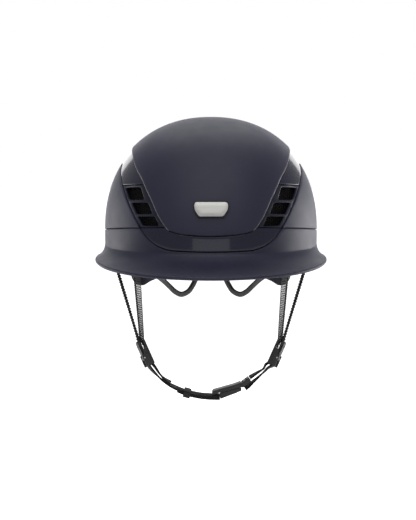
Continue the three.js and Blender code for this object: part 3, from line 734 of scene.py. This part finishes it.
def add_crown_edge_highlight():
    """A fine light grey bead round the crown panel's edge, on each side of its front: its light colour is a
    painted highlight along the edge.
    """
    for name, side in SIDES:
        path = [skin_at(a * side, crown_edge(a) + 0.1, 0.75) for a in span(19.5, 62, 120)]
        facing = lambda p, t, along: skin_normal(p - Vector((0, 0, BELT)), CROWN_RISE)
        bead = band(path, facing, 0.9, 0.9)[0]
        painted_highlight = make(f"crown_edge_highlight_{name}", bead, "matte_shell", "helmet")
        painted_highlight.data.materials[0] = finish_of("painted_highlight")


REAR_SLOTS = [(0, 22), (-24, 17), (24, 17)]  # middle and width of each
SLOT_LOW, SLOT_HIGH, SLOT_CORNER = 55.0, 63.0, 3
CUT_FROM, CUT_TO = 80, 160


def cut_rear_slots(obj):
    """Three exhaust slots above the nape."""
    parts = []
    for x, width in REAR_SLOTS:
        left, right = x + width / 2, x - width / 2
        corners = [(left, SLOT_LOW), (left, SLOT_HIGH), (right, SLOT_HIGH), (right, SLOT_LOW)]
        loop = rounded(corners, SLOT_CORNER, 5)
        parts.append(loft([[Vector((p.x, y, p.y)) for p in loop] for y in (CUT_FROM, CUT_TO)]))
    cutter = linked("slot_cutter", solid_mesh("slot_cutter", merge(*parts)))
    cut = obj.modifiers.new("slots", "BOOLEAN")
    cut.operation = "DIFFERENCE"
    cut.solver = "EXACT"
    cut.object = cutter
    applied(obj)
    bpy.data.objects.remove(cutter)


# ---------- vents ----------
WINDOWS = [
    [(72.2, 83.2), (88.8, 81.6), (84.6, 69.4), (68.2, 70.2)],
    [(64.3, 67.7), (82, 66.8), (76.6, 55.4), (59.6, 56.4)],
    [(57.2, 53.8), (75.2, 53), (70, 43.9), (52.6, 44.2)],
]


def vent_outline():
    """The insert's outline as seen from the front, on the wearer's left."""
    low, high = (lambda a: plane_at(a, SEAM_HEIGHT + GAP / 2)), (lambda a: plane_at(a, VENT_LINE))
    meets = lambda edge, line: crossing(lambda a: edge(a) - line(a), 15, 60)
    corners = [meets(below_crown, low), meets(below_crown, high)]
    corners += [meets(above_gloss, high), meets(above_gloss, low)]
    loop = []
    for line, a, b in zip((below_crown, high, above_gloss, low), corners, corners[1:] + corners[:1]):
        loop += [skin_at(t, line(t)) for t in span(a, b, 14)[:-1]]
    return rounded([(p.x, p.z) for p in loop], 0.6, 2)


GRID = {"pitch": 2.6, "share": 0.78, "depth": 5.6, "thickness": 0.8}
SIDE_GRID = Vector((46, 36)), Vector((94, 88))  # corners of the grids' fields, as seen from the front
REAR_GRID = Vector((-36, 51)), Vector((36, 66))


def vent_grid(cells, place):
    """The black grid that lies behind the vents, at its depth below the skin."""
    recessed = lambda x, z, lift: place(x, z, lift - GRID["depth"])
    return honeycomb(cells, GRID["pitch"], GRID["share"], recessed, GRID["thickness"])


def add_vents():
    outline = vent_outline()
    inside = grown(outline, -0.5)
    holes = [rounded(corners, 2.0, 5) for corners in WINDOWS]
    cells = [cell for cell in hex_cells(GRID["pitch"], *SIDE_GRID) if contains(inside, cell)]
    for name, side in SIDES:
        place = lambda x, z, offset: facing_point(x * side, z, offset)
        insert = plate(outline, holes, place, *VENT, 0.6)
        skin_piece(f"vent_insert_{name}_skin", insert, f"vent_insert_{name}")
        skin_piece(f"vent_grid_{name}", vent_grid(cells, place), f"vent_mesh_{name}")
    behind = lambda x, z, offset: facing_point(x, z, offset, back=True)
    skin_piece("rear_vent_grid", vent_grid(hex_cells(GRID["pitch"], *REAR_GRID), behind), "rear_vent_mesh")


# ---------- badge ----------
BADGE_HALF_WIDTH, BADGE_HALF_HEIGHT, BADGE_Z, BADGE_TILT = 17.0, 7.3, 61.0, -10.0


def badge_outline(grow):
    w, h = BADGE_HALF_WIDTH + grow, BADGE_HALF_HEIGHT + grow
    half = [(w - 2.6, h), (w - 0.7, h - 0.8), (w, h - 2.8)]
    half += [(w - 0.6, -0.6), (w - 4.4, 0.9 - h), (w - 6, -h)]
    loop = half + [(-x, z) for x, z in reversed(half)]
    return rounded(loop, 1.6, 4)


def add_badge():
    tilt = Matrix.Rotation(math.radians(BADGE_TILT), 4, "X")
    turn = Matrix.Translation(skin_at(0, BADGE_Z, CROWN[0])) @ tilt
    place = lambda x, z, out: turn @ Vector((x, -out, z))
    skin_piece("badge_rim", plate(badge_outline(1.1), [], place, 2.2, -1.0, 0.6), "badge_bezel")
    face = plate(badge_outline(0), [], place, 2.7, 1.3, 0.45)
    field = plate(badge_outline(-1.5), [], place, 2.82, 2.5, 0.12)
    skin_piece("badge_plate", merge(face, field), "front_badge")


# ---------- liner and pads ----------
LINER, PAD, BROW = (-4.2, -24.0), (-25.0, -31.0), (-25.0, -31.5)
CHANNELS = (0.0, 44.0)  # distances from the middle of the cooling channels moulded along the liner
CHANNEL_DEPTH, CHANNEL_REACH, POCKET_DEPTH, RIM_ROUND = 4.5, 7, 9.0, 2.5
PAD_ROLL, PAD_SEAM = 7.0, 1.2  # how far a pad's edge rolls over, and its thickness where it is sewn
QUILT_SINK, QUILT_REACH = 0.42, 1.6
CLOTH_FRAMES = 20
PAD_SWELL = 1.1
SIDE_PADS = {  # angles from and to, columns, top, bottom, rows, seams
    "temple": (34, 80, 34, 26, lobe_edge, 14, [(0.42, False)]),
    "nape": (112, 148, 26, 40, lambda a: 8, 12, [(0.5, True)]),
}


def vent_pocket(angle, z):
    """How far the foam is cut back behind the side vents and the rear slots, from 0 to 1."""
    side = abs(angle)
    ease = lambda value, width: min(1, max(0, value / width))
    front = min(ease(side - 24, 2), ease(54 - side, 2), ease(z - max(37, gloss_edge(angle) - 3), 3))
    front = min(front, ease(min(87, crown_edge(angle) + 4) - z, 3))
    rear = min(ease(side - 157, 2), ease(z - 47, 3), ease(69 - z, 3))
    return max(0, front, rear)


def liner():
    """The foam shell: cooling channels along its inner face, and pockets behind the vents."""
    sections = []
    for angle in FULL_RING:
        low = level_of(rim_edge(angle) - 1)
        levels = span(math.pi / 2, low, 60)
        outer = []
        for level in levels:
            depth = POCKET_DEPTH * vent_pocket(angle, skin(angle, level).z)
            outer.append(skin(angle, level, LINER[0] - depth))
        inner = []
        for level in reversed(levels):
            p = skin(angle, level, LINER[1])
            near = min(abs(abs(p.x) - c) for c in CHANNELS)
            depth = CHANNEL_DEPTH * max(0, 1 - (near / CHANNEL_REACH) ** 2) ** 0.5
            depth *= min(1, max(0, (p.z - 30) / 25))
            inner.append(skin(angle, level, LINER[1] + depth))
        inner[0] = skin(angle, low, LINER[1] + RIM_ROUND)
        sections.append(outer + inner)
    return loft(sections, ring=True)


def seal():
    profile = rounded([(-3, -1.6), (-3, -3.6), (-7.4, -3.6), (-7.4, -1.6)], 0.8, 3)
    return loft([[skin_at(a, rim_edge(a) + p.y, p.x) for p in profile] for a in FULL_RING], ring=True)


def pad(name, node, angles, top, bottom, layer, rows, seams=(), ring=False):
    """A pad's casing before it is filled: flat at its stitched edge and along its quilting seams.
    seams are shares of the pad's length and height, from 0 to 1, where it is sewn through."""
    back, face = layer
    columns = len(angles) - 1
    sections, sewn = [], []
    for c, angle in enumerate(angles):
        levels = span(level_of(top(angle)), level_of(bottom(angle)), rows)
        pole = ring and top(angle) > 150
        section, flags = [skin(angle, level, back - 0.1) for level in levels], [True] * (rows + 1)
        for r in reversed(range(rows + 1)):
            along, up = c / (columns + (1 if ring else 0)), r / rows
            here = skin(angle, levels[r], face)
            edges = [(skin(angle, levels[-1], face) - here).length]
            if not pole:
                edges.append((skin(angle, levels[0], face) - here).length)
            if not ring:
                edges += [(skin(end, levels[r], face) - here).length for end in (angles[0], angles[-1])]
            rise = min(1, min(edges) / PAD_ROLL)
            height = PAD_SEAM + (abs(face - back) - 2 * PAD_SEAM) * math.sqrt(1 - (1 - rise) ** 2)
            lines = [abs(along - s) * columns for s, vertical in seams if vertical]
            lines += [abs(up - s) * rows for s, vertical in seams if not vertical]
            near = min(lines, default=9)
            height *= 1 - QUILT_SINK * max(0, 1 - near / QUILT_REACH)
            section.append(skin(angle, levels[r], back - height))
            flags.append(near < 0.6 or min(edges) < 0.5)
        sections.append(section)
        sewn += flags
    shape = loft(sections, ring)
    obj = skin_piece(name, shape, node, sharp=80)
    return obj, list(zip(shape[0], sewn))


def spot(p, unit=1.0, digits=3):
    """A point's rounded place in millimetres, by which it is found again in a mesh."""
    return tuple(round(c / unit, digits) for c in p)


def inflate(pads):
    """Fills the pads: each casing is blown up between its seams, then kept within a set movement."""
    scene = bpy.context.scene
    rest = {}
    for obj, sewn in pads:
        group = obj.vertex_groups.new(name="sewn")
        fixed = {spot(p) for p, held in sewn if held}
        held = [v.index for v in obj.data.vertices if spot(v.co, MM) in fixed]
        group.add(held, 1.0, "REPLACE")
        rest[obj.name] = [v.co.copy() for v in obj.data.vertices]
        cloth = obj.modifiers.new("cloth", "CLOTH").settings
        cloth.vertex_group_mass = "sewn"
        cloth.quality = 4
        cloth.mass = 0.2
        cloth.use_pressure = True
        cloth.uniform_pressure_force = 4
        cloth.effector_weights.gravity = 0
    for number in range(1, CLOTH_FRAMES + 1):
        scene.frame_set(number)
    for obj, _ in pads:
        applied(obj)
        for vertex, start in zip(obj.data.vertices, rest[obj.name]):
            moved = vertex.co - start
            if moved.length > PAD_SWELL * MM:
                vertex.co = start + moved.normalized() * PAD_SWELL * MM
    scene.frame_set(1)


def subdivided(obj):
    smooth_it = obj.modifiers.new("smooth", "SUBSURF")
    smooth_it.levels = smooth_it.render_levels = 1
    applied(obj)


def add_liner():
    skin_piece("liner_skin", liner(), "impact_liner")
    skin_piece("rim_seal_skin", seal(), "rim_seal")
    quarters = [(0.25, True), (0.5, True), (0.75, True)]
    brow = span(-30, 30, 40)
    pads = [pad("brow_cushion", "brow_pad", brow, lambda a: 33, lambda a: 4, BROW, 11, quarters)]
    for name, side in SIDES:
        for part, (start, end, steps, top, bottom, rows, seams) in SIDE_PADS.items():
            names = f"{part}_cushion_{name}", f"{part}_pad_{name}"
            angles = span(start * side, end * side, steps)
            pads.append(pad(*names, angles, lambda a: top, bottom, PAD, rows, seams))
    crown = [-180 + 6 * i for i in range(60)]
    seams = [(k / 6, True) for k in range(6)] + [(0.5, False)]
    pads += [pad("crown_cushion", "crown_pad", crown, crown_top, lambda a: 118, PAD, 14, seams, ring=True)]
    inflate(pads)
    for obj, _ in pads:
        subdivided(obj)


# ---------- bands and webbing ----------
STRAP_WIDTH, NET_PITCH = 15.0, 3.1


def catmull(points, steps):
    """A centripetal Catmull-Rom curve through the points."""
    known = [Vector(p) for p in points]
    known = [known[0] * 2 - known[1]] + known + [known[-1] * 2 - known[-2]]
    pieces = len(points) - 1
    result = []
    for n in range(steps + 1):
        place = n / steps * pieces
        i = min(int(place), pieces - 1)
        w = place - i
        p0, p1, p2, p3 = known[i:i + 4]
        d0, d1, d2 = (max((b - a).length ** 0.5, 1e-4) for a, b in ((p0, p1), (p1, p2), (p2, p3)))
        t1 = ((p1 - p0) / d0 - (p2 - p0) / (d0 + d1) + (p2 - p1) / d1) * d1
        t2 = ((p2 - p1) / d1 - (p3 - p1) / (d1 + d2) + (p3 - p2) / d2) * d1
        square, cube = 3 * (p2 - p1) - 2 * t1 - t2, 2 * (p1 - p2) + t1 + t2
        result.append(p1 + t1 * w + square * w * w + cube * w ** 3)
    return result


def band(path, facing, width, thickness, ridge=0.0):
    """A flat band with rounded edges. Returns its shape, and each vertex's place across and along it."""
    w, t = width / 2, thickness / 2
    r = t * 0.9
    outline = []
    for x, y, quarter in ((1, 1, 0), (-1, 1, 90), (-1, -1, 180), (1, -1, 270)):
        for turn in (0, 30, 60, 90):
            a = math.radians(quarter + turn)
            outline.append((x * (w - r) + r * math.cos(a), y * (t - r) + r * math.sin(a)))
    outline = outline[6:] + outline[:6]
    sections, across_at, along_at = [], [], []
    travelled = 0.0
    for i, p in enumerate(path):
        if i:
            travelled += (p - path[i - 1]).length
        along = (path[min(i + 1, len(path) - 1)] - path[max(i - 1, 0)]).normalized()
        across = along.cross(facing(p, i / (len(path) - 1), along)).normalized()
        out = across.cross(along)
        swell = 1 + ridge * math.sin(2 * math.pi * travelled / NET_PITCH)
        sections.append([p + across * x * swell + out * y * swell for x, y in outline])
        across_at += [x * MM for x, y in outline]
        along_at += [travelled * MM] * len(outline)
    return loft(sections), across_at, along_at


def webbing(name, node, path, facing, blend=None):
    """A woven strap whose vertices know where they are across and along it."""
    shape, across, along = band(path, facing, STRAP_WIDTH, 2.0)
    places = {spot(p, digits=2): (u, v) for p, u, v in zip(shape[0], across, along)}
    obj = skin_piece(name, shape, node, blend=blend)
    for index, title in enumerate(("across", "along")):
        attribute = obj.data.attributes.new(title, "FLOAT", "POINT")
        values = [places.get(spot(v.co, MM, 2), (0, 0))[index] for v in obj.data.vertices]
        attribute.data.foreach_set("value", values)
    return obj


# ---------- fit system ----------
HARD_PARTS = {
    "temple_pivot": 0.25, "temple_bracket": 0.4, "fit_arm": 0.4, "front_anchor": 0.4, "rear_anchor": 0.4,
    "divider_body": 0.45, "divider_lever": 0.45, "lever_pin": 0.15,
}


def cradle(width, thickness, lift=0.0):
    half = [(104, -8, -33.2), (118, -12.5, -34.2), (132, -17, -35), (140, -20.5, -35.6)]
    half += [(146, -26, -36), (151.3, -33, -36.5), (155.5, -39, -37), (160.1, -42.2, -37)]
    half += [(164.9, -39.4, -37), (168.4, -32, -37), (171, -24, -37), (175, -17.5, -37), (180, -14, -37)]
    route = half + [(360 - a, z, depth) for a, z, depth in reversed(half[:-1])]
    path = []
    for a, z, depth in catmull(route, 240):
        base = skin_at(a, z)
        path.append(base + Vector((base.x, base.y, 0)).normalized() * depth + Vector((0, 0, lift)))
    return band(path, lambda p, t, along: Vector((p.x, p.y * 0.7, 0)), width, thickness)[0]


def add_fit_system():
    frame_band = skin_piece("cradle_band", cradle(6, 2), "cradle_frame")
    # the band's lighter grey is painted light
    frame_band.data.materials[0] = finish_of("cradle_painted_light_grey")
    # a thin black strip along the top edge of the cradle band: painted shade
    make("cradle_painted_shade_strip", cradle(1.3, 2.5, 2.4), "black_plastic", "cradle")
    for part, width in HARD_PARTS.items():
        for side in ("left", "right"):
            bevelled(f"{part}_{side}", width)
    bevelled("dial_housing", 0.6, 3)
    bevelled("dial_knob", 0.25)
    bevelled("dial_pinion", 0.15)


# ---------- harness ----------
DIVIDER_CENTRE = Vector((70, -5, -96.4))
DIVIDER_OUT = Vector((0.93, -0.21, -0.3))
LOOP_BAR_Z, LOOP_BAR_RADIUS, CLEARANCE, STRAP_THICKNESS = -12.2, 1.3, 0.35, 1.2
NET_SHARE, NET_THICKNESS, CORD_TWIST = 0.84, 0.5, 0.28
CORDS = {"front": ((1.5, 1.6), (0.9, 0.8)), "rear": ((2.2, 2.8), (2.0, 2.6))}  # width and height of each
HOLDS = {
    "front": {"at": Vector((76.6, -64, -3.2)), "out": Vector((0.8, -0.6, 0)), "layer": 0.9, "twist": 1.2},
    "rear": {"at": Vector((102.4, 20, -2.4)), "out": Vector((1, 0.05, -0.1)), "layer": -1.5, "twist": 4},
}


def divider_frame():
    up = Vector((0.41, 0.148, 0.9)).normalized()
    across = up.cross(DIVIDER_OUT).normalized()
    inward = up.cross(across)
    turn = Matrix((across, inward, up)).transposed().to_4x4()
    return Matrix.Translation(DIVIDER_CENTRE) @ turn


DIVIDER = divider_frame()
DIVIDER_ACROSS = (DIVIDER.to_3x3() @ Vector((1, 0, 0))).normalized()
flip = lambda p, side: Vector((p[0] * side, p[1], p[2]))


def side_strap(hold, side):
    """A surface for a side strap: (across, share of its length, lift) to a point."""
    end = DIVIDER @ Vector((0, hold["layer"], 9))
    start = hold["at"].lerp(end, 0.008)
    along = (end - start).normalized()

    def place(u, t, lift=0.0):
        facing = hold["out"].lerp(DIVIDER_OUT, max(0, t) ** hold["twist"])
        across = along.cross(facing).normalized()
        return flip(start.lerp(end, t) + across * u + across.cross(along) * lift, side)

    return place, (end - start).length


def add_side_straps():
    """Open net webbing between two cords, which are thicker on the rear straps than on the front ones."""
    for name, side in SIDES:
        for which, hold in HOLDS.items():
            place, length = side_strap(hold, side)
            front, rear = (width for width, height in CORDS[which])
            low, high = Vector((front - STRAP_WIDTH / 2, 1)), Vector((STRAP_WIDTH / 2 - rear, length - 1))
            on_strap = lambda u, v, lift: place(u, v / length, lift)
            cells = hex_cells(NET_PITCH, low, high)
            parts = [honeycomb(cells, NET_PITCH, NET_SHARE, on_strap, NET_THICKNESS)]
            for edge_side, (width, height) in zip((-1, 1), CORDS[which]):
                middle = edge_side * (STRAP_WIDTH - width) / 2
                path = [place(middle, t) for t in span(0, 1, 230)]
                facing = lambda p, t, along: place(middle, t, 1) - place(middle, t)
                parts.append(band(path, facing, width, height, ridge=CORD_TWIST)[0])
            names = f"{which}_net_strap_{name}", f"{which}_strap_{name}"
            strap = skin_piece(names[0], merge(*parts), names[1], sharp=60)
            strap.data.materials[0] = finish_of("net_yarn")


FLANGE_PLACE, FLANGE_THICKNESS = 7.0, 1.0


def add_lever_flanges():
    """The folded side walls of the cam levers, which close the throat from the front and the back."""
    outline = rounded([(-3.9, -1.5), (-0.5, -1.5), (-0.5, 12), (-3.9, 13.6)], 0.9, 2)
    for name, side in SIDES:
        walls = []
        for x in (-FLANGE_PLACE, FLANGE_PLACE):
            at = lambda d: [flip(DIVIDER @ Vector((d, p.x, p.y)), side) for p in outline]
            walls.append(loft([at(x - FLANGE_THICKNESS / 2), at(x + FLANGE_THICKNESS / 2)]))
        lever = f"divider_lever_{name}"
        make(f"lever_flanges_{name}", merge(*walls), SLOT_OF[lever], BODY_OF[lever])


def loop_round_bar(exit_angle, leg):
    radius = LOOP_BAR_RADIUS + CLEARANCE + STRAP_THICKNESS / 2
    turn = math.radians(exit_angle)
    ahead = Vector((0, math.cos(turn), math.sin(turn))) * leg
    arc = []
    for degrees in span(90, 270, 12):
        a = turn + math.radians(degrees)
        arc.append(Vector((0, radius * math.cos(a), LOOP_BAR_Z + radius * math.sin(a))))
    return [DIVIDER @ p for p in [arc[0] + ahead, *arc, arc[-1] + ahead]]


CHIN_ACROSS = Vector((0, 1, 0.13))  # the chin strap's front edge hangs lower
BUCKLE_PARTS = {"buckle_catch": 0.7, "buckle_tongue": 0.7, "strap_adjuster": 0.5, "strap_keeper": 0.7}


def chin_width(bar):
    centre = (DIVIDER @ Vector((0, 0, LOOP_BAR_Z))).x

    def facing(p, t, along):
        share = min(1, abs(abs(p.x) - centre) / 24)
        return along.cross(bar.lerp(CHIN_ACROSS, share))

    return facing


def add_chin_straps():
    threaded = [(40.9, -8.9, -122.2), (49.6, -8.3, -116.6), (55.2, -8, -113)]
    free = [(57.4, -7.8, -115.2), (50.2, -8.3, -121.8), (44.6, -8.7, -126.6), (40.4, -9, -130.6)]
    free += [(36.4, -9.2, -134)]
    route = catmull(threaded + loop_round_bar(-50, 6) + free, 150)
    webbing("chin_web_left", "chin_strap_left", route, chin_width(DIVIDER_ACROSS))
    returned = [(42.6, -8.6, -127.8), (50.6, -8, -122.3), (54.2, -7.8, -118.4)]
    main = [(56.4, -7.8, -120.6), (51.8, -8, -124.8), (43.2, -8.6, -130), (32.6, -9.2, -134.9)]
    main += [(25.2, -9.6, -137.4), (11.5, -10, -140.3), (1, -10, -141.2), (-9.3, -10, -141.4)]
    route = catmull([flip(p, -1) for p in returned + loop_round_bar(-76, 7) + main], 200)
    to_tongue = ("tongue", (-15, -10, -141), (5, -10, -141))
    width = chin_width(flip(DIVIDER_ACROSS, -1))
    webbing("chin_web_right", "chin_strap_right", route, width, blend=to_tongue)
    tail = [(-35.4, -9.1, -135.4), (-32, -9.2, -136.9), (-24.7, -9.6, -139.3), (-11.3, -10, -142.1)]
    tail += [(-1, -10, -143.1), (9.6, -10, -143.3)]
    across = lambda p, t, along: along.cross(CHIN_ACROSS)
    webbing("chin_tail_web", "chin_tail_right", catmull(tail, 60), across, blend=to_tongue)
    for part, width in BUCKLE_PARTS.items():
        bevelled(part, width, 3)
    for part in ("catch_magnet", "tongue_magnet"):
        bevelled(part, 0.25)
    add_catch_cover()


BUCKLE = Matrix.Translation((16, -10, -132.9)) @ Matrix.Rotation(math.radians(-14.4), 4, "Y")
CATCH_HALF_WIDTH = 9.0


def add_catch_cover():
    """Three raised panels on the catch's front edge, and the bar that holds the adjuster."""
    panels = [
        [(-14.6, -1.9), (-1.4, -1.9), (-1.4, 1.2), (-13.5, 0.8)],
        [(-0.8, -1.9), (5.2, -1.9), (5.2, 1.5), (-0.8, 1.3)],
        [(5.8, -1.9), (12.8, -1.9), (15.7, -0.9), (15.7, 2.2), (9, 1.6), (5.8, 1.5)],
    ]
    place = lambda x, z, out: BUCKLE @ Vector((x, -CATCH_HALF_WIDTH - out, z))
    parts = []
    for corners, rise in zip(panels, (0.45, 0.3, 0.75)):
        parts.append(plate(rounded(corners, 0.5, 2), [], place, rise, -0.4, 0.2))
    make("catch_cover", merge(*parts), SLOT_OF["buckle_catch"], BODY_OF["buckle_catch"])
    outline = rounded([(29.9, -131.3), (34.9, -131.9), (35.2, -128.0), (31.0, -126.6)], 1.4, 3)
    bar = loft([[Vector((p.x, y, p.y)) for p in outline] for y in span(-18, -2, 4)])
    make("adjuster_bar", bar, SLOT_OF["strap_adjuster"], BODY_OF["strap_adjuster"])


# ---------- studio ----------
def softbox(name, place, aim, size, power):
    light = bpy.data.lights.new(name, "AREA")
    light.shape = "RECTANGLE"
    light.size, light.size_y = size
    light.energy = power
    obj = linked(name, light)
    obj.location = place
    obj.rotation_euler = (Vector(aim) - Vector(place)).to_track_quat("-Z", "Y").to_euler()
    obj.visible_camera = False


def add_studio():
    scene = bpy.context.scene
    scene.view_settings.view_transform = "Standard"
    world = bpy.data.worlds.new("studio")
    scene.world = world
    world.use_nodes = True
    nodes, join = world.node_tree.nodes, world.node_tree.links.new
    choose = nodes.new("ShaderNodeMixShader")
    join(nodes.new("ShaderNodeLightPath").outputs["Is Camera Ray"], choose.inputs["Fac"])
    grounds = nodes["Background"], nodes.new("ShaderNodeBackground")
    for number, node, tone in zip((1, 2), grounds, (0.3, 1.0)):
        node.inputs["Color"].default_value = (tone, tone, tone, 1)
        node.inputs["Strength"].default_value = 1.0
        join(node.outputs["Background"], choose.inputs[number])
    join(choose.outputs["Shader"], nodes["World Output"].inputs["Surface"])

    softbox("top_back", (0, 0.9, 1.5), (0, 0, 0.1), (1.5, 1.3), 11.5)
    softbox("overhead", (0, -0.9, 1.8), (0, -0.05, 0), (1.8, 0.9), 9)
    softbox("backdrop", (0, 2.3, 0.35), (0, 0, 0.05), (2.6, 1.5), 15)
    softbox("right_box", (1.5, 0.8, -0.15), (0, 0, 0), (1.3, 0.9), 20)
    softbox("left_box", (-1.5, 0.8, -0.15), (0, 0, 0), (1.3, 0.9), 11)
    softbox("front_fill", (0, -2.3, 1.3), (0, 0, -0.05), (2.4, 1.0), 14)
    softbox("low_front", (0, -2.6, -0.45), (0, 0, 0), (1.5, 0.7), 2)

    floor_mesh = bpy.data.meshes.new("floor")
    reach, drop = 14.0, -0.42
    corners = [(x * reach, y * reach, drop) for x, y in ((-1, -1), (1, -1), (1, 1), (-1, 1))]
    floor_mesh.from_pydata(corners, [], [(0, 1, 2, 3)])
    paper = Shader("paper_floor")
    paper.colour(paper.ranged(paper.noise(3, 3), 0, 1), (0.93, 0.93, 0.93), (0.95, 0.95, 0.95))
    paper.roughness(paper.ranged(paper.noise(8, 2), 0.85, 0.95))
    paper.constants(Emission_Color=(1, 1, 1, 1))
    seen_directly = paper.add("ShaderNodeLightPath").outputs["Is Camera Ray"]
    paper.set(paper.surface.inputs["Emission Strength"], seen_directly)
    floor_mesh.materials.append(paper.material)
    floor = linked("floor", floor_mesh)

    lens = bpy.data.cameras.new("camera")
    lens.lens, lens.sensor_width = 143.7, 36
    camera = linked("camera", lens)
    aim, distance, elevation = Vector((-0.0031, 0, 0.0021)), 2.2, math.radians(4)
    camera.location = aim + Vector((0, -math.cos(elevation), math.sin(elevation))) * distance
    camera.rotation_euler = (math.pi / 2 - elevation, 0, 0)
    scene.camera = camera


add_studio()
add_shells()
add_vents()
add_badge()
add_liner()
add_fit_system()
add_side_straps()
add_lever_flanges()
add_chin_straps()

bpy.context.view_layer.update()
